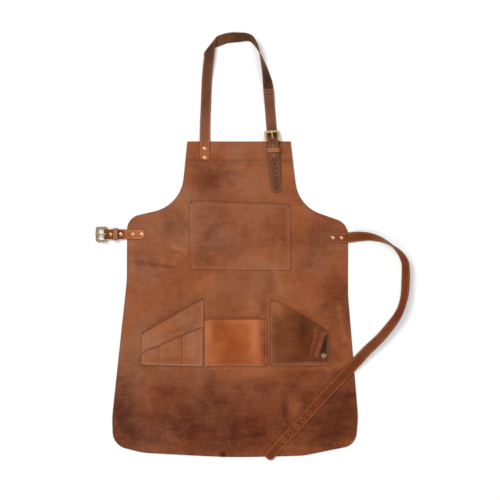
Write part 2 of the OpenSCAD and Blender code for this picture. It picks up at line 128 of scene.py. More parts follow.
def corner_arc(before, at, after, r, step=5):
    """Points of the arc of radius r that rounds the corner at a point."""
    p = np.array(at[:2])
    a, b = unit(np.array(before[:2]) - p), unit(np.array(after[:2]) - p)
    half = math.acos(np.clip(a @ b, -1, 1)) / 2
    mid = p + unit(a + b) * r / math.sin(half)
    start = p + a * r / math.tan(half) - mid
    end = p + b * r / math.tan(half) - mid
    first = math.degrees(math.atan2(start[1], start[0]))
    swing = (math.degrees(math.atan2(end[1], end[0])) - first + 540) % 360 - 180
    n = max(3, math.ceil(abs(swing) / step))
    return [mid + r * turn(first + swing * i / n) for i in range(n + 1)]


def rounded(corners):
    """Outline of corners [x, y, radius], with its corners as arcs."""
    n = len(corners)
    points = []
    for i, c in enumerate(corners):
        points += corner_arc(corners[i - 1], c, corners[(i + 1) % n], c[2])
    return points


def dense(loop, step):
    """The loop with its long edges cut into steps."""
    out = []
    for i, p in enumerate(loop):
        q = loop[(i + 1) % len(loop)]
        n = max(1, math.ceil(np.linalg.norm(np.subtract(q, p)) / step))
        out += [np.array(p) + (np.array(q) - np.array(p)) * k / n for k in range(n)]
    return out


def inset_lines(corners, distances):
    """Corners of the outline with each edge moved inwards by its own distance."""
    c = [np.array(p[:2], float) for p in corners]
    n = len(c)
    normal = [left_of(unit(c[(i + 1) % n] - c[i])) for i in range(n)]
    out = []
    for i in range(n):
        both = normal[i], normal[i - 1]
        reach = [m @ (c[i] + m * d) for m, d in zip(both, (distances[i], distances[i - 1]))]
        out.append(np.linalg.solve(np.array(both), reach))
    return out


def catmull(points, n):
    """Smooth curve through points of any dimension, n steps a stretch."""
    p = [np.array(q, float) for q in points]
    out = []
    for i in range(len(p) - 1):
        a, b, c, d = p[max(i - 1, 0)], p[i], p[i + 1], p[min(i + 2, len(p) - 1)]
        for k in range(n):
            t = k / n
            out.append(0.5 * (2 * b + (c - a) * t + (2 * a - 5 * b + 4 * c - d) * t**2
                              + (3 * b - a - 3 * c + d) * t**3))
    return out + [p[-1]]


def inside(points, loop):
    """Which of the points lie inside the loop."""
    x, y = np.asarray(points, float).T
    hit = np.zeros(len(x), bool)
    for i in range(len(loop)):
        (x0, y0), (x1, y1) = loop[i - 1], loop[i]
        if y0 != y1:
            hit ^= ((y0 > y) != (y1 > y)) & (x < (x1 - x0) * (y - y0) / (y1 - y0) + x0)
    return hit


def edge_distance(points, loop):
    """Distance of each point from the loop's edges."""
    p = np.asarray(points, float)
    best = np.full(len(p), 1e9)
    for i in range(len(loop)):
        a, b = np.array(loop[i - 1]), np.array(loop[i])
        d = b - a
        length = d @ d
        if length < 1e-14:
            continue
        t = np.clip(((p - a) @ d) / length, 0, 1)
        best = np.minimum(best, np.linalg.norm(p - a - t[:, None] * d, axis=1))
    return best


# ---------------------------------------------------------------- leather pieces
GRAIN, EDGE, FLESH = 0, 1, 2
CUT_R = 0.45 * MM  # how far a plain cut edge is rounded
STRAP_R = 1.0 * MM  # the same for a burnished strap
BODY_GRID, FLAP_GRID, POCKET_GRID = 5 * MM, 8 * MM, 3.6 * MM  # spacing of a flat piece's vertices


def loop_normals(loop):
    """Inward normal at each point of an anticlockwise loop."""
    n = len(loop)
    return [left_of(unit(np.array(loop[(i + 1) % n]) - np.array(loop[i - 1]))) for i in range(n)]


def circle(x, y, r, n=20):
    return [np.array([x, y]) + r * turn(360 * i / n) for i in range(n)]


def stadium(x0, x1, y, r, n=8):
    """A slot's outline, from x0 to x1 with round ends."""
    right = [np.array([x1 - r, y]) + r * turn(-90 + 180 * i / n) for i in range(n + 1)]
    left = [np.array([x0 + r, y]) + r * turn(90 + 180 * i / n) for i in range(n + 1)]
    return right + left


def edge_rings(r, thickness):
    """How far out and how high the rounded edge is, from the grain side to the flesh side."""
    angles = [math.radians(a) for a in (30, 60, 90)]
    high = [(math.sin(a), thickness - r * (1 - math.cos(a))) for a in angles]
    return high + [(out, thickness - w) for out, w in reversed(high)]


def cut_piece(outline, holes, spacing, thickness, place, rows=None, edge_r=CUT_R):
    """A piece cut from leather of one thickness, with rounded edges: vertices, faces, slots, rim distances.
    The cut is drawn flat; place(u, v, w) puts a point of it, w above its underside, where it lies."""
    loops = [dense(outline, spacing * 0.8)] + [h[::-1] for h in holes]
    radii = [min(edge_r, thickness * 0.48)] + [CUT_R * 0.8] * len(holes)
    flat_in = [[p + n * r for p, n in zip(loop, loop_normals(loop))] for loop, r in zip(loops, radii)]
    box = np.array(outline)
    us = np.arange(box[:, 0].min(), box[:, 0].max(), spacing)
    vs = rows if rows is not None else np.arange(box[:, 1].min(), box[:, 1].max(), spacing)
    grid = np.array([(u, v) for u in us for v in vs])
    grid = grid[inside(grid, flat_in[0])]
    near = np.min([edge_distance(grid, loop) for loop in flat_in], axis=0)
    grid = grid[near > (0.35 * spacing if rows is None else 0.45 * MM)]
    for hole in loops[1:]:
        grid = grid[~inside(grid, hole)]
    points = [Vector(p) for loop in flat_in for p in loop] + [Vector(g) for g in grid]
    edges, first = [], 0
    for loop in flat_in:
        edges += [(first + i, first + (i + 1) % len(loop)) for i in range(len(loop))]
        first += len(loop)
    outer = list(range(len(flat_in[0])))
    flat, _, tris, origin = geometry.delaunay_2d_cdt(points, edges[len(outer):], [outer], 1, 1e-7)[:4]
    middles = np.array([sum((flat[i] for i in t), Vector((0, 0))) / 3 for t in tris])
    keep = np.ones(len(tris), bool)
    for hole in flat_in[1:]:
        keep &= ~inside(middles, hole)
    tris = [t for t, k in zip(tris, keep) if k]
    at = {old: new for new, olds in enumerate(origin) for old in olds}
    verts, faces, slots, rims = [], [], [], []

    def add(u, v, w, rim):
        verts.append(place(u, v, w))
        rims.append(rim)
        return len(verts) - 1

    depth = np.min([edge_distance([tuple(p) for p in flat], loop) for loop in loops], axis=0)
    top = [add(p.x, p.y, thickness, d) for p, d in zip(flat, depth)]
    low = [add(p.x, p.y, 0, d) for p, d in zip(flat, depth)]
    for t in tris:
        faces += [[top[i] for i in t], [low[i] for i in reversed(t)]]
        slots += [GRAIN, FLESH]
    first = 0
    for loop, moved, r in zip(loops, flat_in, radii):
        n = len(loop)
        rings = [[top[at[first + i]] for i in range(n)]]
        for out, w in edge_rings(r, thickness):
            rings.append([add(*(moved[i] + (loop[i] - moved[i]) * out), w, 0.0) for i in range(n)])
        rings.append([low[at[first + i]] for i in range(n)])
        for a, b in zip(rings, rings[1:]):
            faces += [[a[i], b[i], b[(i + 1) % n], a[(i + 1) % n]] for i in range(n)]
            slots += [EDGE] * n
        first += n
    return verts, faces, slots, rims


def join_parts(parts):
    """Several cut pieces as one mesh."""
    verts, faces, slots, rims = [], [], [], []
    for v, f, s, r in parts:
        faces += [[i + len(verts) for i in face] for face in f]
        verts += v
        slots += s
        rims += r
    return verts, faces, slots, rims


def shade_at(p, patches):
    """How much darker or lighter a point is made: a sum of soft patches, either round
    (x, y, spread in x, spread in y, amount) or along a line (x, y, to x, to y, half width, amount). They give
    the hide's own tone with painted highlights and painted shade, or the painted sheen's strength."""
    total = 0.0
    for patch in patches:
        if len(patch) == 6:
            away = band_distance(p[0], p[1], *patch[:4]) / patch[4]
            total += patch[5] * math.exp(-(away**2))
        else:
            x, y, rx, ry, amount = patch
            total += amount * math.exp(-(((p[0] - x) / rx) ** 2) - (((p[1] - y) / ry) ** 2))
    return total


def band_distance(x, y, x0, y0, x1, y1):
    """Distance of a point from a line between two others."""
    dx, dy = x1 - x0, y1 - y0
    t = min(max(((x - x0) * dx + (y - y0) * dy) / (dx * dx + dy * dy), 0.0), 1.0)
    return math.hypot(x - x0 - dx * t, y - y0 - dy * t)


def painted_sheen_at(p):
    """How strong the painted sheen is at a point, the grey veil of the key light's reflection: it fades
    towards the lower right.
    """
    return min(max(0.75 - 1.6 * p[0] + 0.9 * (p[1] + 0.1) + shade_at(p, PAINTED_SHEEN_PATCHES), 0.0), 1.0)


def link(name, mesh):
    obj = bpy.data.objects.new(name, mesh)
    bpy.context.scene.collection.objects.link(obj)
    return obj


def smooth_mesh(name, verts, faces, slots, materials):
    """A smooth mesh whose faces take the materials by number."""
    mesh = bpy.data.meshes.new(name)
    mesh.from_pydata([tuple(v) for v in verts], [], faces)
    for m in materials:
        mesh.materials.append(m)
    mesh.polygons.foreach_set("material_index", slots)
    mesh.polygons.foreach_set("use_smooth", [True] * len(faces))
    return mesh


def stand_in(name, mesh, body, node):
    """A mesh as the piece that rides a body in place of a CAD node."""
    mesh.update()
    obj = link(name, mesh)
    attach(obj, body)
    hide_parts(node)
    return obj


def leather_object(name, parts, materials, patches, body, node, sewn=None):
    """One leather piece in place of a CAD node. Each point keeps its distance from the sewn lines, or from
    the edge all round, which places the painted edge highlight.
    """
    verts, faces, slots, rims = parts
    pressed = rims
    if sewn is not None:
        pressed = [min(band_distance(v[0], v[1], *line) for line in sewn) for v in verts]
    mesh = smooth_mesh(name, verts, faces, slots, materials)
    spots = metres(patches)
    # per point: the patches' tone with painted highlights and painted shade, and how strong the painted sheen
    # is
    tone_and_painted_light = [shade_at(v, spots) for v in verts]
    painted_sheen = [painted_sheen_at(v) for v in verts]
    for key, values in (("rim", rims), ("pressed", pressed), ("tone_and_painted_light", tone_and_painted_light), ("painted_sheen", painted_sheen)):
        mesh.attributes.new(key, "FLOAT", "POINT").data.foreach_set("value", np.array(values, np.float32))
    mesh.validate()
    return stand_in(name, mesh, body, node)


# ---------------------------------------------------------------- camera, floor and light
LENS, SENSOR_W = 100, 36
VIEW_W = 1.2295  # what the camera sees from side to side
VIEW_MIDDLE = (-0.0059, -0.0091)
FOCUS_Z = 0.003
FLOOR_Z = -0.0006


def make_camera():
    data = bpy.data.cameras.new("camera")
    data.lens, data.sensor_width, data.clip_end = LENS, SENSOR_W, 50
    camera = link("camera", data)
    camera.location = (*VIEW_MIDDLE, VIEW_W * LENS / SENSOR_W + FOCUS_Z)
    bpy.context.scene.camera = camera


def area_light(name, place, size, power, colour):
    """A round lamp that shines on the middle of the scene."""
    data = bpy.data.lights.new(name, "AREA")
    data.shape, data.size, data.energy, data.color = "DISK", size, power, colour
    lamp = link(name, data)
    lamp.location = place
    lamp.rotation_mode = "QUATERNION"
    lamp.rotation_quaternion = (-Vector(place)).to_track_quat("-Z", "Y")


def make_studio():
    bpy.ops.mesh.primitive_plane_add(size=14, location=(0, 0, FLOOR_Z))
    floor = bpy.context.object
    floor.name = "floor"
    g = Graph("floor_paper")
    speck = g.noise(g.coords(), 60, 3)
    g.finish(g.ramp(speck, [(0.3, (0.95, 0.95, 0.945)), (0.7, (0.98, 0.98, 0.975))]), roughness=0.9)
    floor.data.materials.append(g.material)
    floor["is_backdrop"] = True
    world = bpy.data.worlds.new("studio")
    world.use_nodes = True
    sky = world.node_tree.nodes["Background"]
    sky.inputs["Color"].default_value = (1, 1, 1, 1)
    sky.inputs["Strength"].default_value = 0.70
    bpy.context.scene.world = world
    area_light("key", (-1.6, 1.7, 2.6), 1.5, 60, (1, 0.985, 0.96))
    area_light("fill", (1.9, -0.6, 2.8), 2.6, 20, (0.97, 0.985, 1))
    bpy.context.scene.view_settings.view_transform = "Standard"
    bpy.context.scene.view_settings.exposure = 0.0


# ---------------------------------------------------------------- materials
class Graph:
    """A small helper that writes a material's nodes."""

    def __init__(self, name):
        self.material = bpy.data.materials.new(name)
        self.material.use_nodes = True
        self.tree = self.material.node_tree
        self.shader = self.tree.nodes["Principled BSDF"]

    def add(self, kind, inputs, **settings):
        """A node with its settings and its inputs, each a value or another node's socket."""
        node = self.tree.nodes.new(kind)
        for key, value in settings.items():
            setattr(node, key, value)
        for key, value in inputs.items():
            self.put(node.inputs[key], value)
        return node

    def put(self, socket, value):
        if isinstance(value, bpy.types.NodeSocket):
            self.tree.links.new(value, socket)
        else:
            socket.default_value = value

    def coords(self, scale=(1, 1, 1)):
        at = self.add("ShaderNodeTexCoord", {}).outputs["Object"]
        return self.add("ShaderNodeMapping", {"Vector": at, "Scale": scale}).outputs["Vector"]

    def noise(self, vector, scale, detail=2, roughness=0.5, warp=0.0):
        inputs = {"Vector": vector, "Scale": scale, "Detail": detail, "Roughness": roughness,
                  "Distortion": warp}
        return self.add("ShaderNodeTexNoise", inputs).outputs["Fac"]

    def cells(self, vector, scale):
        return self.add("ShaderNodeTexVoronoi", {"Vector": vector, "Scale": scale}).outputs["Distance"]

    def attribute(self, name):
        return self.add("ShaderNodeAttribute", {}, attribute_name=name).outputs["Fac"]

    def math(self, operation, a, b=0.0, clamp=False):
        return self.add("ShaderNodeMath", {0: a, 1: b}, operation=operation, use_clamp=clamp).outputs[0]

    def spread(self, value, low, high, to_low=0.0, to_high=1.0):
        inputs = dict(enumerate((value, low, high, to_low, to_high)))
        return self.add("ShaderNodeMapRange", inputs, interpolation_type="SMOOTHSTEP").outputs[0]

    def mix(self, share, a, b):
        a, b = (c if isinstance(c, bpy.types.NodeSocket) else (*c, 1) for c in (a, b))
        return self.add("ShaderNodeMix", {"Factor": share, 6: a, 7: b}, data_type="RGBA").outputs[2]

    def ramp(self, value, stops):
        node = self.add("ShaderNodeValToRGB", {"Fac": value})
        elements = node.color_ramp.elements
        while len(elements) < len(stops):
            elements.new(0.5)
        for element, (at, colour) in zip(elements, stops):
            element.position, element.color = at, (*colour, 1)
        return node.outputs["Color"]

    def bump(self, height, strength, distance, normal=None):
        inputs = {"Height": height, "Strength": strength, "Distance": distance}
        if normal is not None:
            inputs["Normal"] = normal
        return self.add("ShaderNodeBump", inputs).outputs["Normal"]

    def finish(self, colour, roughness=0.5, normal=None, metallic=0.0, specular=0.5):
        self.put(self.shader.inputs["Base Color"], colour)
        self.put(self.shader.inputs["Roughness"], roughness)
        self.shader.inputs["Metallic"].default_value = metallic
        self.shader.inputs["Specular IOR Level"].default_value = specular
        if normal is not None:
            self.put(self.shader.inputs["Normal"], normal)


def linear(r, g, b):
    """A colour given as it looks on a screen, 0 to 255, as the shader takes it."""
    return tuple(((c / 255 + 0.055) / 1.055) ** 2.4 if c > 10 else c / 255 / 12.92 for c in (r, g, b))


# grey of the painted sheen, the key light's reflection laid into the leather's colour
PAINTED_SHEEN_GREY = (0.27, 0.225, 0.165)


def grain_leather(name, dark, mid, light, contrast=1.0, glow=0.0, streaks=0.28, waxy=1.0):
    """Waxed full-grain leather: slow clouds of colour where the wax has moved, fine grain and scuffs; painted
    shade, painted highlights and a painted sheen are laid into its colour.
    """
    g = Graph(name)
    at = g.coords()
    slow = g.noise(at, 5, 4, 0.55, 0.6)
    blotch = g.noise(at, 26, 5, 0.62, 0.5)
    fine = g.noise(at, 170, 3, 0.65)
    drawn = g.noise(g.coords((9, 60, 20)), 1.6, 5, 0.7, 0.3)
    rim, edge = g.attribute("rim"), g.attribute("pressed")
    # soft patches: the hide's own tone with painted highlights and painted shade by its folds, creases and
    # gapes
    tone = g.math("MULTIPLY", g.attribute("tone_and_painted_light"), 0.85)
    for part, size in ((slow, 0.8 * contrast), (blotch, 0.6 * contrast), (fine, 0.28), (drawn, streaks)):
        tone = g.math("ADD", tone, g.math("MULTIPLY", g.math("SUBTRACT", part, 0.5), size))
    tone = g.math("ADD", tone, 0.5)
    # painted highlight: a paler band about 1 to 4 mm in from the sewn lines, or from the edge all round,
    # where a pressed edge would catch the light
    painted_edge_highlight = g.math("MULTIPLY", g.spread(edge, 0.0006, 0.0014), g.spread(edge, 0.0034, 0.0050, 1, 0))
    tone = g.math("ADD", tone, g.math("MULTIPLY", painted_edge_highlight, glow), clamp=True)
    deep = tuple(0.55 * c for c in dark)
    colour = g.ramp(tone, [(0.0, deep), (0.16, dark), (0.5, mid), (1.0, light)])
    # scuffs: short pale strokes in two directions
    for turned, size in (((30, 4, 1), 11.0), ((5, 26, 1), 17.0)):
        stroke = g.noise(g.coords(turned), size, 5, 0.65, 0.4)
        colour = g.mix(g.spread(stroke, 0.66, 0.74, 0, 0.25), colour, light)
    # follicles: the small pits of the grain
    cells = g.cells(at, 900)
    pits = g.cells(at, 420)
    colour = g.mix(g.spread(pits, 0.0, 0.25, 0.22, 0), colour, dark)
    # painted sheen: a grey veil of the key light's reflection mixed into the colour, thin on the dark patches
    cloudy = g.spread(g.noise(at, 9, 3, 0.6, 0.8), 0.35, 0.65, 0.03 * waxy, 0.17 * waxy)
    sheen_share = g.math("MULTIPLY", g.attribute("painted_sheen"), cloudy)
    colour = g.mix(g.math("MULTIPLY", sheen_share, g.spread(tone, 0.0, 0.6, 0.2, 1)), colour, PAINTED_SHEEN_GREY)
    # darker close to the cut edges: the edge dye that has crept in, and painted shade along the edge
    colour = g.mix(g.spread(rim, 0.0002, 0.0015, 0.5, 0), colour, tuple(c * 0.4 for c in dark))
    wrinkles = g.noise(at, 85, 4, 0.6, 1.2)
    normal = g.bump(g.math("ADD", cells, g.math("MULTIPLY", pits, 0.8)), 0.35, 0.00012)
    normal = g.bump(wrinkles, 0.35, 0.0008, normal)
    normal = g.bump(blotch, 0.45, 0.004, normal)
    g.finish(colour, g.spread(blotch, 0.3, 0.7, 0.62, 0.46), normal, specular=0.15)
    return g.material


def flesh_leather(name, dark, light):
    """The rough side: short fibres, matt."""
    g = Graph(name)
    at = g.coords()
    fibres = g.noise(g.coords((1, 1, 1)), 420, 5, 0.75, 1.5)
    clouds = g.noise(at, 16, 3, 0.6)
    colour = g.mix(g.spread(clouds, 0.3, 0.7), dark, light)
    colour = g.mix(g.spread(fibres, 0.42, 0.62, 0, 0.4), colour, light)
    g.finish(colour, 0.88, g.bump(fibres, 0.6, 0.0004), specular=0.2)
    return g.material


def edge_leather(name, dark, light):
    """A cut edge: burnished, with the layers just showing."""
    g = Graph(name)
    layers = g.noise(g.coords((60, 60, 900)), 1.0, 3, 0.6)
    colour = g.mix(g.spread(layers, 0.35, 0.65), dark, light)
    g.finish(colour, 0.5, g.bump(layers, 0.3, 0.0002), specular=0.4)
    return g.material


def waxed_thread(name, dark, light):
    g = Graph(name)
    ply = g.noise(g.coords((1, 1, 1)), 1500, 2, 0.6)
    g.finish(g.mix(g.spread(ply, 0.35, 0.65), dark, light), 0.55, g.bump(ply, 0.5, 0.0001), specular=0.35)
    return g.material


def antique_brass(name, dull, bright, stain):
    """Brass with a brown patina left in the low places and scratches on the high ones."""
    g = Graph(name)
    at = g.coords()
    patina = g.noise(at, 240, 5, 0.65, 0.6)
    scratch = g.noise(g.coords((1, 9, 3)), 420, 3, 0.7)
    colour = g.mix(g.spread(patina, 0.35, 0.68), bright, dull)
    colour = g.mix(g.spread(patina, 0.60, 0.80, 0, 0.7), colour, stain)
    normal = g.bump(scratch, 0.25, 0.0001)
    g.finish(colour, g.spread(patina, 0.35, 0.7, 0.24, 0.46), normal, metallic=1.0)
    return g.material


def make_leathers():
    edge = edge_leather("cut_edge", linear(58, 32, 17), linear(94, 56, 32))
    strap_edge = edge_leather("burnished_edge", linear(70, 36, 16), linear(112, 66, 36))
    flesh = flesh_leather("rough_side", linear(70, 42, 20), linear(98, 64, 38))
    warm_flesh = flesh_leather("warm_rough_side", linear(88, 44, 20), linear(126, 72, 40))
    pale_flesh = flesh_leather("pale_rough_side", linear(150, 100, 64), linear(176, 126, 88))

    def kit(name, dark, mid, light, rough=flesh, cut=edge, **more):
        return [grain_leather(name, linear(*dark), linear(*mid), linear(*light), **more), cut, rough]

    def panel(*colours, **more):
        return kit(*colours, rough=pale_flesh, **more)

    # straps: a stronger painted edge highlight and a weaker painted sheen
    def strap(*colours, **more):
        return kit(*colours, cut=strap_edge, glow=0.25, streaks=0.2, waxy=0.4, **more)

    return {
        "body": panel("body_hide", (86, 32, 5), (136, 70, 33), (172, 102, 60), contrast=0.72),
        "pocket": panel("pocket_hide", (92, 38, 10), (139, 74, 38), (170, 104, 66), contrast=0.75, glow=0.16),
        "tool": panel("tool_hide", (112, 56, 24), (148, 82, 46), (178, 114, 76), contrast=0.7, glow=0.24),
        "centre": panel("centre_hide", (120, 48, 4), (158, 79, 32), (188, 112, 66), contrast=0.7, glow=0.12),
        "side": panel("side_hide", (58, 18, 0), (100, 45, 10), (146, 82, 46), contrast=0.8, glow=0.28),
        "neck": strap("neck_strap_hide", (56, 26, 8), (90, 47, 24), (152, 84, 50), contrast=0.5),
        "adjuster": strap("adjuster_hide", (50, 22, 6), (98, 54, 33), (134, 80, 52), contrast=0.4),
        "waist": strap("waist_strap_hide", (66, 22, 0), (110, 48, 10), (156, 88, 42), contrast=0.6),
        "chape": strap("short_strap_hide", (92, 40, 12), (140, 70, 30), (184, 106, 62), warm_flesh,
                       contrast=0.6),
        "keeper": strap("keeper_hide", (96, 46, 18), (142, 80, 46), (184, 118, 80), contrast=0.5),
    }


# ---------------------------------------------------------------- body
OUTLINE = [
    (94, 256.4, 1), (-160, 256.4, 1), (-176.5, 101, 92), (-308, 70.5, 36), (-309, -85, 300),
    (-345, -420, 250), (-343, -489, 42), (-270, -508, 200), (-50, -519.5, 1500), (125, -515, 150),
    (254, -489, 38), (260, -420, 180), (235, -120, 400), (235.5, 56, 40), (112.5, 99.5, 92),
]
# the hide's own darker and lighter places; beside the folds and creases of BODY_RIDGES and at the dent in the
# bottom edge they are painted highlights and painted shade; the wide one at the bottom makes the body darker
# towards the bottom
BODY_PATCHES = [
    (-105, 165, 45, 35, -0.26), (-140, 235, 30, 30, -0.08), (20, 160, 60, 40, 0.1), (100, 170, 30, 40, 0.1),
    (-185, 55, 40, 35, -0.24), (108, 70, 25, 30, 0.2), (150, 10, 30, 50, -0.16), (-270, -20, 50, 30, -0.08),
    (-290, 60, 30, 20, -0.2), (-270, -130, 70, 70, 0.16), (45, -90, 16, 30, -0.22),
    (210, -100, 35, 40, -0.2), (130, -120, 50, 30, 0.02), (220, -170, 30, 50, -0.16),
    (-5, -148, 14, 18, 0.14), (27, -150, 10, 25, -0.3), (-200, -160, 30, 20, -0.06),
    (-300, -215, 30, 40, 0.1), (-280, -460, 50, 40, -0.12), (200, 40, 50, 30, -0.06),
    (-215, -350, 35, 25, -0.14), (-320, -400, 30, 50, -0.2), (-105, -345, 16, 40, -0.14),
    (0, -312, 50, 12, 0.28), (30, -346, 30, 20, -0.18), (79, -400, 10, 30, -0.22),
    (106, -396, 14, 25, 0.22), (90, -345, 40, 30, -0.16), (0, -455, 60, 50, -0.14),
    (-90, -430, 40, 30, 0.14), (220, -380, 50, 60, -0.18), (200, -460, 60, 30, -0.12),
    (-200, -460, 120, 60, -0.1), (-72, -512, 6, 5, -0.6), (0, -440, 600, 90, -0.27),
    (150, -310, 100, 20, -0.08), (-310, -320, 50, 50, -0.16), (-285, -40, -195, -52, 5, -0.2),
    (-195, -2, -165, -12, 4, 0.4), (60, -55, 70, -110, 7, 0.16), (-300, 5, -295, -60, 10, 0.16),
    (214, -150, 226, -230, 6, 0.2), (-90, -300, 180, -299, 6, 0.18), (-160, -125, -100, -75, 10, 0.12),
    (190, -300, 240, -286, 10, 0.22),
]
# where the painted sheen is stronger or weaker
PAINTED_SHEEN_PATCHES = metres([
    (130, -30, 50, 50, 0.45), (-5, -148, 30, 20, 0.4), (200, -100, 50, 50, -0.4), (0, -460, 80, 60, -0.35),
    (-70, 240, 80, 30, -0.2), (-300, 30, 60, 15, -0.5), (110, 70, 30, 30, -0.4), (120, -230, 60, 60, -0.5),
    (-40, -235, 70, 50, -0.35),
])
# soft folds of the hide: from x, y, to x, y, half width, height
BODY_RIDGES = metres([
    (4, -118, 2, -172, 11, 3.2), (58, -70, 60, -122, 12, 2.2), (-290, -34, -190, -50, 8, 1.8),
    (-190, -2, -168, -14, 5, 1.5), (98, -360, 96, -440, 14, 2.6), (205, -120, 224, -230, 13, 2.4),
    (-60, -318, -40, -420, 18, 2), (-225, -400, -120, -412, 16, 1.8), (-210, 55, -180, 5, 14, 2.2),
    (-72, -495, -72, -516, 6, 2.2), (-300, -180, -310, -300, 12, 1.8), (150, 50, 140, -40, 14, 2),
    (-100, 180, -60, 140, 14, 1.6), (100, 185, 106, 120, 10, 1.4), (-320, -430, -270, -470, 15, 2.2),
    (10, -360, 34, -480, 15, 2.2),
], kept=0)


def scaled(corners):
    return [tuple(v * MM for v in c) for c in corners]


def hem_lift(y):
    """Underside of the single layer: it climbs on to the folded hem."""
    return BODY_T * ease((y - (BIB_TOP - HEM_W - HEM_RAMP)) / HEM_RAMP)


def ridge_lift(x, y, ridges):
    """Height of the soft folds at a point."""
    lift = 0.0
    for *line, half, height in ridges:
        away = band_distance(x, y, *line) / half
        if away < 3:
            lift += height * math.exp(-(away**2))
    return lift


def body_place(x, y, w):
    return (x, y, hem_lift(y) + ridge_lift(x, y, BODY_RIDGES) + w)


def hem_fold(y, steps=8, cols=60):
    """The fold along the bib's top: half a tube that closes the two layers."""
    verts = []
    for i in range(cols + 1):
        x = HEM_LEFT + (HEM_RIGHT - HEM_LEFT) * i / cols
        for k in range(steps + 1):
            a = turn(-90 + 180 * k / steps)
            verts.append((x, y + BODY_T * a[0] * 0.98, BODY_T + BODY_T * a[1]))
    row = steps + 1
    faces = [[i * row + k, (i + 1) * row + k, (i + 1) * row + k + 1, i * row + k + 1]
             for i in range(cols) for k in range(steps)]
    faces += [list(range(row)), [cols * row + k for k in range(row)][::-1]]
    return verts, faces, [GRAIN] * (len(faces) - 2) + [EDGE] * 2, [0.004] * len(verts)


def make_body(leathers):
    outline = rounded(scaled(OUTLINE))
    hole = circle(*EYELET, EYELET_HOLE_R)
    front = cut_piece(outline, [hole], BODY_GRID, BODY_T, body_place)
    low, high = BIB_TOP - HEM_W + 0.4 * MM, BIB_TOP - BODY_T
    flap_outline = [(HEM_LEFT - 5 * MM, low), (HEM_RIGHT + 4.2 * MM, low),
                    (HEM_RIGHT + 0.3 * MM, high), (HEM_LEFT - 0.3 * MM, high)]
    flap = cut_piece(flap_outline, [], FLAP_GRID, BODY_T - 0.05 * MM, lambda x, y, w: (x, y, w))
    parts = join_parts([front, flap, hem_fold(high)])
    obj = leather_object("apron_hide", parts, leathers["body"], BODY_PATCHES, ROOT,
                         "apron_body")


# ---------------------------------------------------------------- pockets
BIB = [(92.5, 102), (-155, 111), (-151, -57), (93.5, -59)]
TOOL = [(-120, -126), (-272, -213), (-274, -293), (-120, -297)]
TOOL_GAPE = [(-120, -126), (-272, -213), (-274, -255), (-120, -190)]
SLOTS_MOUTH = [(-123, -198), (-174, -218), (-230, -243), (-271, -260)]
SLOTS_FOOT = -294
SLOTS = SLOTS_MOUTH + [(-271, SLOTS_FOOT + 2), (-123, SLOTS_FOOT - 2)]
CENTRE = [(36, -177.5), (-118, -177.5), (-118, -295.5), (36, -295.5)]
SIDE = [(190, -211), (142, -180), (105, -158.5), (44.5, -129), (44.5, -295.5), (195, -294)]
SLOPE = 14
DIVIDER = 3
BIB_PATCHES = [
    (50, 20, 50, 50, -0.08), (-100, 40, 50, 60, -0.28), (30, -30, 60, 30, 0.12), (-20, 70, 50, 30, 0.06),
    (-120, -30, 40, 30, -0.12),
]
TOOL_PATCHES = [
    (-240, -230, 30, 30, 0.22), (-150, -160, 30, 30, -0.08),
]
SLOTS_PATCHES = [
    (-140, -250, 20, 40, 0.16), (-200, -260, 20, 30, -0.06), (-260, -280, 20, 20, 0.1),
]
# the pale bands at x -112 and x 6 are painted highlights on the front's soft folds, the dark band at x 31
# painted shade of its gape; the rest is the hide's tone
CENTRE_PATCHES = [
    (-112, -210, 12, 50, 0.42), (-90, -270, 20, 20, 0.12), (-45, -250, 30, 50, -0.14),
    (6, -230, 11, 60, 0.42), (31, -240, 7, 80, -0.45), (-85, -200, 20, 30, -0.16), (-20, -185, 40, 6, 0.2),
]
# the bands along the two folds of SIDE_RIDGES are painted highlights and the dark bands beside them painted
# shade; the rest is the hide's tone
SIDE_PATCHES = [
    (60, -150, 20, 25, 0.55), (125, -215, 16, 35, -0.34), (80, -260, 30, 30, 0.14),
    (176, -214, 158, -268, 4.5, 0.45), (156, -205, 142, -262, 4.5, 0.22), (183, -225, 172, -260, 6, -0.45),
    (148, -215, 136, -262, 4, -0.22), (50, -270, 10, 30, 0.18), (130, -289, 60, 5, 0.45),
]
CENTRE_RIDGES = metres([
    (4, -180, 6, -262, 10, 1.8), (-103, -186, -102, -262, 9, 1.2),
], kept=0)
SIDE_RIDGES = metres([
    (176, -214, 160, -258, 5, 3), (156, -204, 142, -256, 6, 2.2),
], kept=0)


def edge_reach(corners):
    """For each edge of an anticlockwise outline: a point on it and its inward normal, in metres."""
    c = mm_path(corners)
    return [(p, left_of(unit(c[(i + 1) % len(c)] - p))) for i, p in enumerate(c)]


def gape_field(corners, foot, crest):
    """height(x, y) of a pocket front that lies flat on its margins and rises towards its mouth."""
    lines = [(p, n, f * MM, c * MM) for (p, n), f, c in zip(edge_reach(corners), foot, crest) if c > 0]

    def height(x, y):
        lift = 1.0
        for p, n, f, c in lines:
            d = (x - p[0]) * n[0] + (y - p[1]) * n[1]
            lift = min(lift, (d - f) / (c - f))
        return GAPE * ease(lift) if lift > 0 else 0.0

    return height


def pocket_place(base, heights, ridges=()):
    return lambda x, y, w: (x, y, base + w + max(h(x, y) for h in heights) + ridge_lift(x, y, ridges))


def make_pocket(name, corners, base, heights, materials, patches, node,
                holes=(), corner_r=2.5, ridges=(), mouth=1):
    """A pocket's front, sewn down from its corner number `mouth` on. The edges before it are the mouth."""
    outline = rounded([(x * MM, y * MM, corner_r * MM) for x, y in corners])
    place = pocket_place(base, heights, ridges)
    parts = cut_piece(outline, list(holes), POCKET_GRID, POCKET_T, place)
    ends = [np.array(c) * MM for c in corners]
    sewn = [(*ends[i], *ends[(i + 1) % len(ends)]) for i in range(mouth, len(ends))]
    obj = leather_object(name, parts, materials, patches, ROOT, node, sewn)
    return place


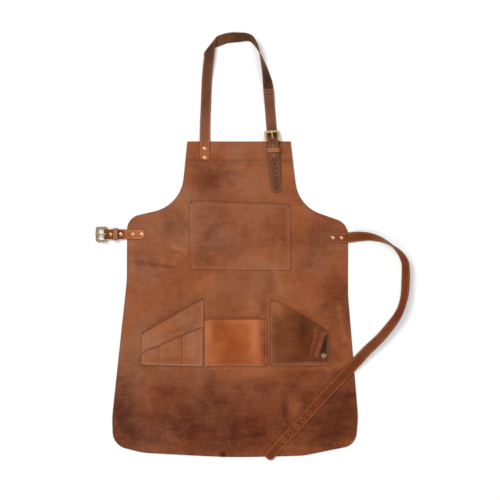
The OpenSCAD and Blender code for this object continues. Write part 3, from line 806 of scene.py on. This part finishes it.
def make_pockets(leathers):
    m = MARGIN / MM
    top = m + SLOPE
    slot_heights = []
    for i, (p, q) in enumerate(zip(SLOTS_MOUTH, SLOTS_MOUTH[1:])):
        left, right = (m if i == 2 else DIVIDER), (m if i == 0 else DIVIDER)
        slot_heights.append(gape_field([p, q, (q[0], SLOTS_FOOT), (p[0], SLOTS_FOOT)],
                                       [0, left, m, right], [0, left + 8, m + 11, right + 8]))
    return {
        "bib": make_pocket(
            "bib_pocket_hide", BIB, ON_BODY, [gape_field(BIB, [0, m, m, m], [0, top, 95, top])],
            leathers["pocket"], BIB_PATCHES, "bib_pocket"),
        "tool": make_pocket(
            "tool_pocket_hide", TOOL, ON_BODY, [gape_field(TOOL_GAPE, [0, m, 3, m], [0, top, 20, top])],
            leathers["tool"], TOOL_PATCHES, "tool_pocket"),
        "slots": make_pocket(
            "tool_slots_hide", SLOTS, ON_POCKET, slot_heights,
            leathers["tool"], SLOTS_PATCHES, "tool_slots",
            corner_r=1.5, mouth=3),
        "centre": make_pocket(
            "centre_pocket_hide", CENTRE, ON_BODY, [gape_field(CENTRE, [0, m, m, m], [0, top, 60, top])],
            leathers["centre"], CENTRE_PATCHES, "centre_pocket",
            ridges=CENTRE_RIDGES),
        "side": make_pocket(
            "side_pocket_hide", SIDE, ON_BODY,
            [gape_field(SIDE, [0, 0, 0, m, 42, m], [0, 0, 0, top, 76, top])],
            leathers["side"], SIDE_PATCHES, "side_pocket",
            holes=[circle(*EYELET, EYELET_HOLE_R)], mouth=3, ridges=SIDE_RIDGES),
    }


# ---------------------------------------------------------------- stitching
STITCH = 3.6 * MM  # length of a stitch and its gap
THREAD_R = 0.42 * MM


def stitch_row(place, path, lift, rng):
    """Stitches along a flat path on a piece: short humps of thread whose ends dive into the leather."""
    verts, faces = [], []
    sides, rings = 6, 6
    for a, b in zip(path, path[1:]):
        a, b = np.array(a), np.array(b)
        run = b - a
        length = np.linalg.norm(run)
        if length < STITCH:
            continue
        d = run / length
        n = left_of(d)
        count = max(1, int(length / STITCH))
        pitch = length / count
        for k in range(count):
            first = len(verts)
            skew = rng.uniform(-0.10, 0.10) * MM
            for j in range(rings + 1):
                t = j / rings
                c = a + d * (pitch * (k + 0.12 + 0.76 * t)) + n * skew * (t - 0.5) * 2
                rise = math.sin(math.pi * t)
                r = THREAD_R * (0.55 + 0.45 * rise**0.5)
                for s in range(sides):
                    q = turn(360 * s / sides)
                    p = c + n * q[0] * r
                    up = (q[1] * r + 0.5 * THREAD_R) * rise ** 0.4 - 0.10 * MM * (1 - rise)
                    verts.append(place(p[0], p[1], lift + up))
            for j in range(rings):
                for s in range(sides):
                    t = (s + 1) % sides
                    faces.append([first + j * sides + s, first + j * sides + t,
                                  first + (j + 1) * sides + t, first + (j + 1) * sides + s])
            faces.append([first + s for s in range(sides)][::-1])
            faces.append([first + rings * sides + s for s in range(sides)])
    return verts, faces


def seam_groove(place, path, lift, width):
    """The line that the stitches pull down: a thin low band under them, coloured darker as painted shade of
    the groove.
    """
    verts, faces = [], []
    for a, b in zip(path, path[1:]):
        a, b = np.array(a), np.array(b)
        length = np.linalg.norm(b - a)
        d = (b - a) / length
        n = left_of(d)
        count = max(1, int(length / (4 * MM)))
        first = len(verts)
        for k in range(count + 1):
            c = a + d * length * k / count
            for side, h in ((-1, -0.15), (-0.5, 0.06), (0.5, 0.06), (1, -0.15)):
                p = c + n * side * width / 2
                verts.append(place(p[0], p[1], lift + h * MM))
        for k in range(count):
            for s in range(3):
                i = first + 4 * k + s
                faces.append([i, i + 1, i + 5, i + 4])
    return verts, faces


# thread and groove materials by number; the grooves are coloured darker as painted shade
LIGHT_THREAD, SOFT_GROOVE, DARK_THREAD, DEEP_GROOVE = range(4)


def make_seams(name, rows, materials, node, tacks=(), dark_rows=()):
    """The stitching of a CAD node. A row is (place, path, lift); the tacks are rows without a groove."""
    rng = random.Random(7)
    verts, faces, slots = [], [], []
    made = [(stitch_row(*row, rng), LIGHT_THREAD) for row in rows]
    made += [(seam_groove(*row, 1.1 * MM), SOFT_GROOVE) for row in rows]
    made += [(stitch_row(*row, rng), DARK_THREAD) for row in [*dark_rows, *tacks]]
    made += [(seam_groove(*row, 1.7 * MM), DEEP_GROOVE) for row in dark_rows]
    for (v, f), slot in made:
        faces += [[i + len(verts) for i in face] for face in f]
        verts += v
        slots += [slot] * len(f)
    stand_in(name, smooth_mesh(name, verts, faces, slots, materials), ROOT, node)


def bar_tacks(place, *spots):
    """Five close stitches across the top end of each upright seam."""
    down, across = turn(-90), turn(0)
    rows = []
    for spot in spots:
        for k in range(-2, 3):
            c = np.array(spot) * MM + down * k * 0.9 * MM
            rows.append((place, [c - across * 1.85 * MM, c + across * 1.85 * MM], POCKET_T))
    return rows


EDGE_GAP, SEAM_GAP = 2.5, 5


def pocket_rows(corners, mouth, place):
    """The double row round a pocket: every edge but its mouth."""
    rows = []
    for d in (EDGE_GAP, EDGE_GAP + SEAM_GAP):
        gaps = [(1 if i < mouth else d) * MM for i in range(len(corners))]
        p = inset_lines(mm_path(corners), gaps)
        rows.append((place, [p[i] for i in range(mouth, len(p))] + [p[0]], POCKET_T))
    return rows


def mouth_rows(points, gaps, place, inset_ends=4):
    """Rows along a mouth, the gaps below it, stopping short of its ends."""
    rows = []
    for gap in gaps:
        path = [np.array(p, float) - np.array([0, gap]) for p in points]
        start, end = unit(path[1] - path[0]), unit(path[-1] - path[-2])
        path[0], path[-1] = path[0] + start * inset_ends, path[-1] - end * inset_ends
        rows.append((place, mm_path(path), POCKET_T))
    return rows


HEM_SEAM_XS = ((-163.5, -131.5), (-102.5, 97))  # either side of the neck strap


def make_stitching(places, kit):
    hem_y = (BIB_TOP - HEM_W) / MM + 2
    hem = [(body_place, mm_path([(x0, hem_y), (x1, hem_y)]), BODY_T) for x0, x1 in HEM_SEAM_XS]
    make_seams("hem_seam", [], kit, "hem_stitching", dark_rows=hem)

    bib = places["bib"]
    rows = pocket_rows(BIB, 1, bib) + mouth_rows([BIB[1], BIB[0]], (3, 8), bib, 12)
    make_seams("bib_seam", rows, kit, "bib_stitching", bar_tacks(bib, (89.5, 98.5), (-150.5, 107)))

    tool = places["tool"]
    rows = []
    for d in (EDGE_GAP, EDGE_GAP + SEAM_GAP):
        rows.append((tool, mm_path([(-272.5 + d, -217), (-272.5 + d, -256)]), POCKET_T))
        rows.append((tool, mm_path([(-120 - d, -134), (-120 - d, -195)]), POCKET_T))
    make_seams("tool_seam", rows, kit, "tool_stitching", bar_tacks(tool, (-123.5, -131), (-268.5, -214.5)),
               mouth_rows(TOOL[1::-1], (2.5,), tool, 3))

    slots = places["slots"]
    dividers = mouth_rows(SLOTS_MOUTH[::-1], (2,), slots, 3)
    dividers += [(slots, mm_path([(x, y - 5), (x, SLOTS_FOOT + 4)]), POCKET_T) for x, y in SLOTS_MOUTH[1:3]]
    tacks = bar_tacks(slots, (-267.5, -262), *((x, y - 3.5) for x, y in SLOTS_MOUTH[1:3]))
    make_seams("slots_seam", pocket_rows(SLOTS, 3, slots), kit, "slot_stitching", tacks, dividers)

    centre, side = places["centre"], places["side"]
    make_seams("centre_seam", pocket_rows(CENTRE, 1, centre), kit, "centre_stitching",
               bar_tacks(centre, (-114.5, -181), (32.5, -181)), mouth_rows(CENTRE[1::-1], (2.5,), centre, 4))
    make_seams("side_seam", pocket_rows(SIDE, 3, side), kit, "side_stitching",
               bar_tacks(side, (47.5, -134), (187.5, -214.5)))


# ---------------------------------------------------------------- long straps
LAY = 0.1
ON_HEM = HEM_TOP / MM + 0.1
OVER = ON_BODY / MM
NECK_LEG = [
    (-117, 212, 0, ON_HEM), (-117, 230, 0, ON_HEM), (-117, 250, 0, ON_HEM), (-117, 264, 0, ON_HEM),
    (-116, 310, 0, 1.6), (-114, 360, 0, 0.4), (-112, 408, 0, 1.6),
    (-108.5, 446, 0, 5.4), (-106.5, 462, 0, 7.1),
]
FOLD_AT, FOLD_TURN, FOLD_R = (-104.5, 487), 52, 3.5
NECK_TOP = [
    (-64, 512, 180, LAY), (-50, 513.5, 168, LAY), (-30, 513.6, 146, LAY), (-18, 514, 135, LAY),
    (-7, 512, 122, LAY), (0, 507, 115, LAY), (7, 498, 106, LAY), (12.5, 488, 98, LAY), (17, 478, 90, LAY),
    (21.5, 464, 78, LAY), (26, 450, 66, LAY), (30.5, 434, 54, LAY), (34.5, 416, 38, LAY),
    (37.5, 401, 18, LAY),
    (38.8, 391, 0, LAY), (40, 375, 0, LAY), (41.4, 360, 0, LAY),
]
WAIST = [
    (198, 21, 0, OVER), (210, 21, 0, OVER), (226, 21, 0, OVER), (240, 22, 0, OVER), (258, 24, -16, 1.2),
    (284, 24, -40, 0.4), (300, 21, -52, LAY), (316, 16, -66, LAY), (329, 10, -78, LAY), (342, 2, -87, LAY),
    (354, -8, -76, LAY), (364, -19, -64, LAY), (372, -33, -56, LAY), (376.3, -50, -48, LAY),
    (375.8, -92, -43, LAY), (373.5, -120, -48, LAY), (367, -146, -52, LAY), (356, -171, -46, LAY),
    (339, -195, -36, LAY), (314, -225, -30, LAY), (282, -256, -20, 0.6), (254, -286, -8, 2.2),
    (236, -306, 0, 2.2), (180, -365, 0, OVER), (112, -440, 0, OVER), (44, -513, 0, OVER),
]
WAIST_HOLE_FROM, WAIST_HOLES, HOLE_PITCH = (140, -411), 5, 22.5


def rung(centre, run, roll):
    """Left and right ends of a line across the strap, rolled about its run."""
    t = unit(np.array(run, float))
    side = unit(np.array([t[1], -t[0], 0]))
    up = np.cross(side, t)
    a = math.radians(roll)
    s = side * math.cos(a) + up * math.sin(a)
    return centre - s * STRAP_W / 2, centre + s * STRAP_W / 2


def route_rungs(route, n=6):
    """Rungs along a route of (x, y, roll, height under the lower edge), all in mm and degrees."""
    stops = catmull(route, n)
    centres = []
    for x, y, roll, low in stops:
        a = math.radians(roll)
        lift = low * MM + abs(math.sin(a)) * STRAP_W / 2 + abs(math.cos(a)) * STRAP_T / 2
        centres.append(np.array([x * MM, y * MM, lift]))
    last = len(centres) - 1
    return [rung(c, centres[min(i + 1, last)] - centres[max(i - 1, 0)], stops[i][2])
            for i, c in enumerate(centres)]


def fold_rungs(leg_turn, z_mid):
    """Rungs along the fold line, from the upper layer round to the lower one."""
    gap = math.radians(leg_turn - FOLD_TURN)
    u = turn(FOLD_TURN)
    n = left_of(u)
    r, half = FOLD_R * MM, STRAP_W / 2 / math.sin(gap)
    out = []
    for a in np.arange(0, 180.1, 15):
        angle = math.radians(a)
        shift = r * angle / math.tan(gap)
        c = np.array(FOLD_AT) * MM + n * r * math.sin(angle)
        z = z_mid + r * math.cos(angle)
        out.append(tuple(np.array([*(c + u * (shift + s * half)), z]) for s in (-1, 1)))
    return out


class Ribbon:
    """A strap along its rungs. place(s, v, w): s along it, v across from its left, w above its underside."""

    def __init__(self, rungs, thickness, overrun=0.5 * STRAP_W):
        mids = [(a + b) / 2 for a, b in rungs]
        start, end = unit(mids[1] - mids[0]) * overrun, unit(mids[-1] - mids[-2]) * overrun
        rungs = [tuple(p - start for p in rungs[0])] + list(rungs) + [tuple(p + end for p in rungs[-1])]
        self.left = np.array([a for a, b in rungs])
        self.right = np.array([b for a, b in rungs])
        self.mids = mids = (self.left + self.right) / 2
        self.s = run_lengths(mids) - overrun
        self.length = self.s[-1] - overrun
        run = np.gradient(mids, axis=0)
        n = np.cross(self.right - self.left, run)
        self.up = n / np.linalg.norm(n, axis=1)[:, None]
        self.t = thickness

    def place(self, s, v, w):
        left, right = read_table(s, self.s, self.left), read_table(s, self.s, self.right)
        share = v / STRAP_W + 0.5
        return left + (right - left) * share + unit(read_table(s, self.s, self.up)) * (w - self.t / 2)

    def find(self, x, y):
        """How far along the strap a point of its flat stretch is."""
        d = np.linalg.norm(self.mids[:, :2] - np.array([x, y]), axis=1)
        i = int(d.argmin())
        run = unit(self.mids[min(i + 1, len(self.mids) - 1)][:2] - self.mids[max(i - 1, 0)][:2])
        return self.s[i] + run @ (np.array([x, y]) - self.mids[i][:2])

    def path(self, step=10 * MM):
        n = int(self.length / step)
        return [read_table(self.length * i / n, self.s, self.mids).tolist() for i in range(n + 1)]


def strap_outline(s0, s1, w, r0, r1):
    return rounded([(s0, -w / 2, r0), (s1, -w / 2, r1), (s1, w / 2, r1), (s0, w / 2, r0)])


def strap_rows(width):
    """Lines of vertices across a strap: close together near its edges."""
    half = width / 2
    return [s * (half - d * MM) for s in (-1, 1) for d in (1.6, 2.3, 3.0, 5.5, 8.5)] + [0.0]


CREASE = 0.22 * MM


def creased(place, width, thickness):
    """The same placing with a shallow line pressed along both edges of the grain side."""
    def pressed(s, v, w):
        from_edge = width / 2 - abs(v)
        if w > thickness * 0.9:
            w -= CREASE * math.exp(-(((from_edge - 2.3 * MM) / (0.35 * MM)) ** 2))
        return place(s, v, w)
    return pressed


def cut_strap(outline, holes, spacing, thickness, width, place, edge_r=STRAP_R):
    """A strap's piece, creased along both edges."""
    return cut_piece(outline, holes, spacing, thickness, creased(place, width, thickness), strap_rows(width),
                     edge_r)


def make_waist_strap(leathers):
    ribbon = Ribbon(route_rungs(WAIST), STRAP_T, overrun=STRAP_W / 2 - 0.4 * MM)
    heading = unit(np.subtract(WAIST[-1][:2], WAIST[-3][:2]))
    holes = []
    for i in range(WAIST_HOLES):
        at = (np.array(WAIST_HOLE_FROM) + heading * i * HOLE_PITCH) * MM
        holes.append(circle(ribbon.find(*at), 0, STRAP_HOLE_R, 16))
    end = STRAP_W / 2 - 0.5 * MM
    outline = strap_outline(-end, ribbon.length + end, STRAP_W, end, end)
    parts = cut_strap(outline, holes, 3.0 * MM, STRAP_T, STRAP_W, ribbon.place)
    # the pale patch at (330, 10) is painted sheen where the loop tilts towards the key light; the rest is the
    # strap's own tone
    patches = [
        (200, 20, 50, 30, 0.1), (330, 10, 30, 30, 0.25), (380, -80, 20, 60, -0.06),
        (360, -170, 30, 30, -0.15), (270, -270, 50, 50, -0.1), (100, -450, 80, 80, -0.05),
    ]
    obj = leather_object("waist_strap_hide", parts, leathers["waist"], patches, ROOT,
                         "waist_strap")
    path = ribbon.path()
    tuple(path[0])


def make_neck_strap(leathers):
    leg = route_rungs(NECK_LEG)
    run = np.array(NECK_LEG[-1][:2]) - np.array(NECK_LEG[-2][:2])
    z_mid = NECK_LEG[-1][3] * MM + STRAP_T / 2 - FOLD_R * MM
    rungs = leg + fold_rungs(math.degrees(math.atan2(run[1], run[0])), z_mid) + route_rungs(NECK_TOP)
    ribbon = Ribbon(rungs, STRAP_T, overrun=1 * MM)
    outline = strap_outline(0, ribbon.length, STRAP_W, 7 * MM, 2 * MM)
    parts = cut_strap(outline, [], 2.6 * MM, STRAP_T, STRAP_W, ribbon.place)
    # the dark patch at (35, 410) is painted shade where the strap is tilted on its turn down; the rest is the
    # strap's own tone
    patches = [
        (-117, 220, 30, 40, 0.6), (-115, 300, 30, 40, 0.22), (-110, 420, 30, 60, -0.05),
        (-100, 480, 30, 30, -0.2), (20, 460, 40, 50, 0.02), (35, 410, 30, 35, -0.34),
        (40, 365, 30, 20, -0.1),
    ]
    obj = leather_object("neck_strap_hide", parts, leathers["neck"], patches, ROOT,
                         "neck_strap")


# ---------------------------------------------------------------- buckle sets
class Set:
    """A buckle's own axes: its heel bar is on Y at x = 0, the short strap runs to +x."""

    def __init__(self, x, y, degrees, heel_z):
        self.o, self.ux, self.uy = np.array([x, y]) * MM, turn(degrees), turn(degrees + 90)
        self.heel_z = heel_z

    def point(self, x, y, z):
        p = self.o + self.ux * x + self.uy * y
        return np.array([p[0], p[1], z])


WRAP_R = 2.3 * MM
WAIST_LOW = ON_BODY + AIR
NECK_LOW = HEM_TOP + KEEPER_T + 0.4 * MM
WAIST_SET = Set(-361, 29.5, 0, WAIST_LOW + CHAPE_T + WRAP_R)
NECK_SET = Set(49.5, 260.7, -85.4, NECK_LOW + CHAPE_T + WRAP_R)
CHAPE_END, CHAPE_BACK = 97 * MM, 44.3 * MM
STEP_FROM, STEP_TO, NIP_X = 50 * MM, 63 * MM, 9.5 * MM
SLOT_W, SLOT_X = 5.4 * MM, 6 * MM
CHAPE_R = 0.8 * MM  # how far a short strap's edge is rounded


class Track:
    """Leather that follows a side-view path (x, z) of its middle, v across."""

    def __init__(self, frame_set, path, thickness, y=0.0):
        self.set, self.t, self.y = frame_set, thickness, y
        self.p = np.array(path)
        self.s = run_lengths(self.p)
        d = np.gradient(self.p, self.s, axis=0)
        n = np.stack([-d[:, 1], d[:, 0]], axis=1)
        self.n = n / np.linalg.norm(n, axis=1)[:, None]
        self.length = self.s[-1]

    def place(self, s, v, w):
        n = unit(read_table(s, self.s, self.n))
        x, z = read_table(s, self.s, self.p) + n * (w - self.t / 2)
        return self.set.point(x, v + self.y, z)

    def along(self, x, branch=0):
        """Distance along the path where it passes x for the first time (branch 0) or the last (branch -1)."""
        hits = []
        for i in range(len(self.s) - 1):
            x0, x1 = self.p[i, 0], self.p[i + 1, 0]
            if (x0 - x) * (x1 - x) <= 0 and x0 != x1:
                hits.append(self.s[i] + (self.s[i + 1] - self.s[i]) * (x - x0) / (x1 - x0))
        return hits[branch]


def chape_path(low, end, heel_z):
    t, r = CHAPE_T, WRAP_R + CHAPE_T / 2
    top = low + 1.5 * t + AIR
    path = [(CHAPE_END + (STEP_TO - CHAPE_END) * i / 12, end + t / 2) for i in range(12)]
    path += [(STEP_TO + (STEP_FROM - STEP_TO) * i / 10, end + (low - end) * ease(i / 10) + t / 2)
             for i in range(11)]
    path += [(STEP_FROM * (1 - i / 12), low + t / 2) for i in range(1, 12)]
    path += [tuple(np.array([0, heel_z]) + r * turn(a)) for a in range(-90, -271, -10)]
    path += [(NIP_X * i / 8, heel_z + r + (top - heel_z - r) * ease(i / 8)) for i in range(1, 9)]
    path += [(NIP_X + (CHAPE_BACK - NIP_X) * i / 8, top) for i in range(1, 9)]
    return path


def make_chape(name, frame_set, low, end, y, leathers, node, patches):
    """The short strap folded round the heel bar; its grain side is outside, so the path's right is up."""
    track = Track(frame_set, chape_path(low, end, frame_set.heel_z), CHAPE_T, y)
    slot_from, slot_to = track.along(SLOT_X, 0), track.along(SLOT_X, -1)
    slot_hole = dense(stadium(slot_from, slot_to, 0, SLOT_W / 2), 0.7 * MM)
    outline = strap_outline(0, track.length, CHAPE_W, CHAPE_W / 2 - 1 * MM, 1 * MM)
    flipped = lambda s, v, w: track.place(s, -v, CHAPE_T - w)
    parts = cut_strap(outline, [slot_hole], 0.8 * MM, CHAPE_T, CHAPE_W, flipped, CHAPE_R)
    obj = leather_object(name, parts, leathers["chape"], patches, ROOT, node)


SPLICE_FROM, SPLICE_Z, TAIL_END = -127, STRAP_T / MM + 0.8, 129
OVER_BAR = (NECK_SET.heel_z + WRAP_R + CHAPE_T) / MM + 0.2
CAP_H = 1.3  # height of a rivet's cap
OVER_CAPS = (NECK_LOW + 2 * CHAPE_T) / MM + LAY + CAP_H + 0.4
OVER_LOW_CAPS = ON_BODY / MM + 2.0 + CAP_H + 0.3
TAIL = [
    (SPLICE_FROM, SPLICE_Z), (-98, SPLICE_Z), (-86, LAY), (-60, LAY), (-18, LAY), (-16, 1), (-7, 9.9),
    (-4, 12.9), (-1, OVER_BAR), (2, OVER_BAR), (5, 13.2), (10, 11.4), (14, OVER_CAPS), (44, OVER_CAPS),
    (53, 8.4), (62, OVER_LOW_CAPS + 0.4), (68, OVER_LOW_CAPS), (94, OVER_LOW_CAPS), (103, 3.2), (112, OVER),
    (TAIL_END, OVER),
]
TAIL_HOLES = [14.5, 37, 59.5, 82]
SPLICE_XS, SPLICE_HALF = (-123, -113), 9.5  # the two rows across the splice
USED_HOLE = (-8.2, 10.6)  # where it is and how far the prong has drawn it out


def smooth_track(points, step):
    """A side-view path with its corners softened a little."""
    p = np.array(points, float) * MM
    s = run_lengths(p)
    at = np.linspace(0, s[-1], int(s[-1] / step) + 1)
    q = np.stack([np.interp(at, s, p[:, k]) for k in (0, 1)], axis=1)
    for _ in range(3):
        q[1:-1] = (q[:-2] + 2 * q[1:-1] + q[2:]) / 4
    return q


def make_adjuster(leathers):
    lifted = [(x, z + STRAP_T / MM / 2) for x, z in TAIL]
    track = Track(NECK_SET, smooth_track(lifted, 1.0 * MM), STRAP_T)
    holes = [circle(track.along(x * MM), 0, STRAP_HOLE_R, 16) for x in TAIL_HOLES]
    middle, drawn = USED_HOLE
    used = [track.along((middle + way * drawn / 2) * MM) for way in (-1, 1)]
    holes.append(dense(stadium(*used, 0, STRAP_HOLE_R), 1 * MM))
    outline = strap_outline(0, track.length, STRAP_W, 2 * MM, STRAP_W / 2 - 1 * MM)
    parts = cut_strap(outline, holes, 2.2 * MM, STRAP_T, STRAP_W, track.place)
    # the dark patch at (50, 272), inside the buckle's frame, is painted shade; the rest is the strap's own
    # tone
    patches = [
        (42, 370, 30, 30, 0.16), (45, 310, 30, 20, 0.2), (50, 272, 30, 10, -0.46), (55, 245, 30, 12, 0.1),
        (60, 160, 20, 40, -0.05),
    ]
    obj = leather_object("neck_adjuster_hide", parts, leathers["adjuster"], patches, ROOT,
                         "neck_adjusting_strap")
    return track


KEEPER_X, KEEPER_LEN, KEEPER_W, KEEPER_H = 25 * MM, 11.2 * MM, 30 * MM, 11.9 * MM


def make_keeper(name, frame_set, z, leathers, node, body):
    """A loop of leather round the short strap, with its lap at the bottom."""
    w, h, r = KEEPER_W / 2 - KEEPER_T / 2, KEEPER_H - KEEPER_T, 1.9 * MM
    loop = rounded([(-w, 0, r), (w, 0, r), (w, h, r), (-w, h, r)])
    loop = [np.array(p) + np.array([0, KEEPER_T / 2]) for p in dense(loop, 1.5 * MM)]
    bottom = min(range(len(loop)), key=lambda i: abs(loop[i][0]) + loop[i][1])
    loop = loop[bottom:] + loop[:bottom + 1]
    p = np.array(loop)
    s = run_lengths(p)
    d = np.gradient(p, axis=0)
    d[0] = d[-1] = p[1] - p[-2]
    n = np.stack([d[:, 1], -d[:, 0]], axis=1)
    n /= np.linalg.norm(n, axis=1)[:, None]

    def place(u, v, height):
        c = read_table(u, s, p) + unit(read_table(u, s, n)) * (height - KEEPER_T / 2)
        return frame_set.point(KEEPER_X - v, c[0], z + c[1])

    gap = 0.1 * MM
    outline = strap_outline(gap, s[-1] - gap, KEEPER_LEN, 0.3 * MM, 0.3 * MM)
    rows = [k * (KEEPER_LEN / 2 - d * MM) for k in (-1, 1) for d in (1.0, 1.6, 2.2, 3.8)] + [0.0]
    parts = cut_piece(outline, [], 1.2 * MM, KEEPER_T, creased(place, KEEPER_LEN, KEEPER_T), rows)
    obj = leather_object(name, parts, leathers["keeper"], [], body, node)


# ---------------------------------------------------------------- metal
def finish_metal(node, brass, width, segments):
    """A CAD node of metal keeps its shape and gets softened edges and a worn finish."""
    obj = NODES[node]
    obj.data.materials.clear()
    obj.data.materials.append(brass)
    for p in obj.data.polygons:
        p.use_smooth = True
    weld = obj.modifiers.new("weld", "WELD")
    weld.merge_threshold = 0.00001
    bevel = obj.modifiers.new("bevel", "BEVEL")
    bevel.width, bevel.segments, bevel.limit_method = width, segments, "ANGLE"
    bevel.angle_limit = math.radians(28)
    bevel.use_clamp_overlap = True
    obj.modifiers.new("normals", "WEIGHTED_NORMAL")


def make_metal():
    antique = antique_brass("antique_brass", linear(92, 80, 52), linear(186, 166, 122), linear(58, 46, 30))
    warm = antique_brass("warm_brass", linear(176, 128, 84), linear(240, 206, 160), linear(104, 64, 38))
    polished = antique_brass("polished_brass", linear(116, 90, 50), linear(230, 200, 144), linear(70, 48, 26))
    for node in NODES:
        buckle = polished if node.startswith("neck") else antique
        finishes = (("_frame", buckle, 1.3, 4), ("_prong", buckle, 0.7, 3), ("_caps", warm, 0.15, 2),
                    ("_posts", warm, 0.15, 2), ("eyelet", antique, 0.2, 2), ("washer", antique, 0.2, 2))
        for ending, brass, edge, segments in finishes:
            if node.endswith(ending):
                finish_metal(node, brass, edge * MM, segments)


# ---------------------------------------------------------------- the scene
make_camera()
LEATHERS = make_leathers()
make_waist_strap(LEATHERS)
make_neck_strap(LEATHERS)
make_body(LEATHERS)
PLACES = make_pockets(LEATHERS)
SEAM_KIT = [
    waxed_thread("seam_thread", linear(150, 90, 54), linear(196, 134, 92)),
    # the groove materials are darker: painted shade in the stitched lines
    edge_leather("groove_painted_shade", linear(92, 46, 22), linear(118, 64, 34)),
    waxed_thread("tack_thread", linear(46, 20, 8), linear(84, 42, 20)),
    edge_leather("deep_groove_painted_shade", linear(52, 22, 8), linear(76, 36, 14)),
]
make_stitching(PLACES, SEAM_KIT)
ADJUSTER = make_adjuster(LEATHERS)
SPLICE_PATHS = [[(ADJUSTER.along(x * MM), way * SPLICE_HALF * MM) for way in (-1, 1)] for x in SPLICE_XS]
make_seams("splice_seam", [], SEAM_KIT, "splice_stitching",
           dark_rows=[(ADJUSTER.place, path, STRAP_T) for path in SPLICE_PATHS])
make_chape("waist_short_strap", WAIST_SET, WAIST_LOW, WAIST_LOW, 0, LEATHERS, "waist_chape",
           [(-270, 30, 30, 30, 0.28), (-340, 30, 20, 30, -0.18), (-310, 30, 10, 30, 0.10)])
make_chape("neck_short_strap", NECK_SET, NECK_LOW, ON_BODY, -1 * MM, LEATHERS, "neck_chape",
           [(50, 250, 30, 30, -0.25)])
make_keeper("waist_keeper_loop", WAIST_SET, AIR, LEATHERS, "waist_keeper", "waist_keeper")
make_keeper("neck_keeper_loop", NECK_SET, HEM_TOP + AIR, LEATHERS, "neck_keeper", "neck_keeper")
make_metal()
make_studio()

[[list(corner) for corner in box] for box in (CAD_BOX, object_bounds())]
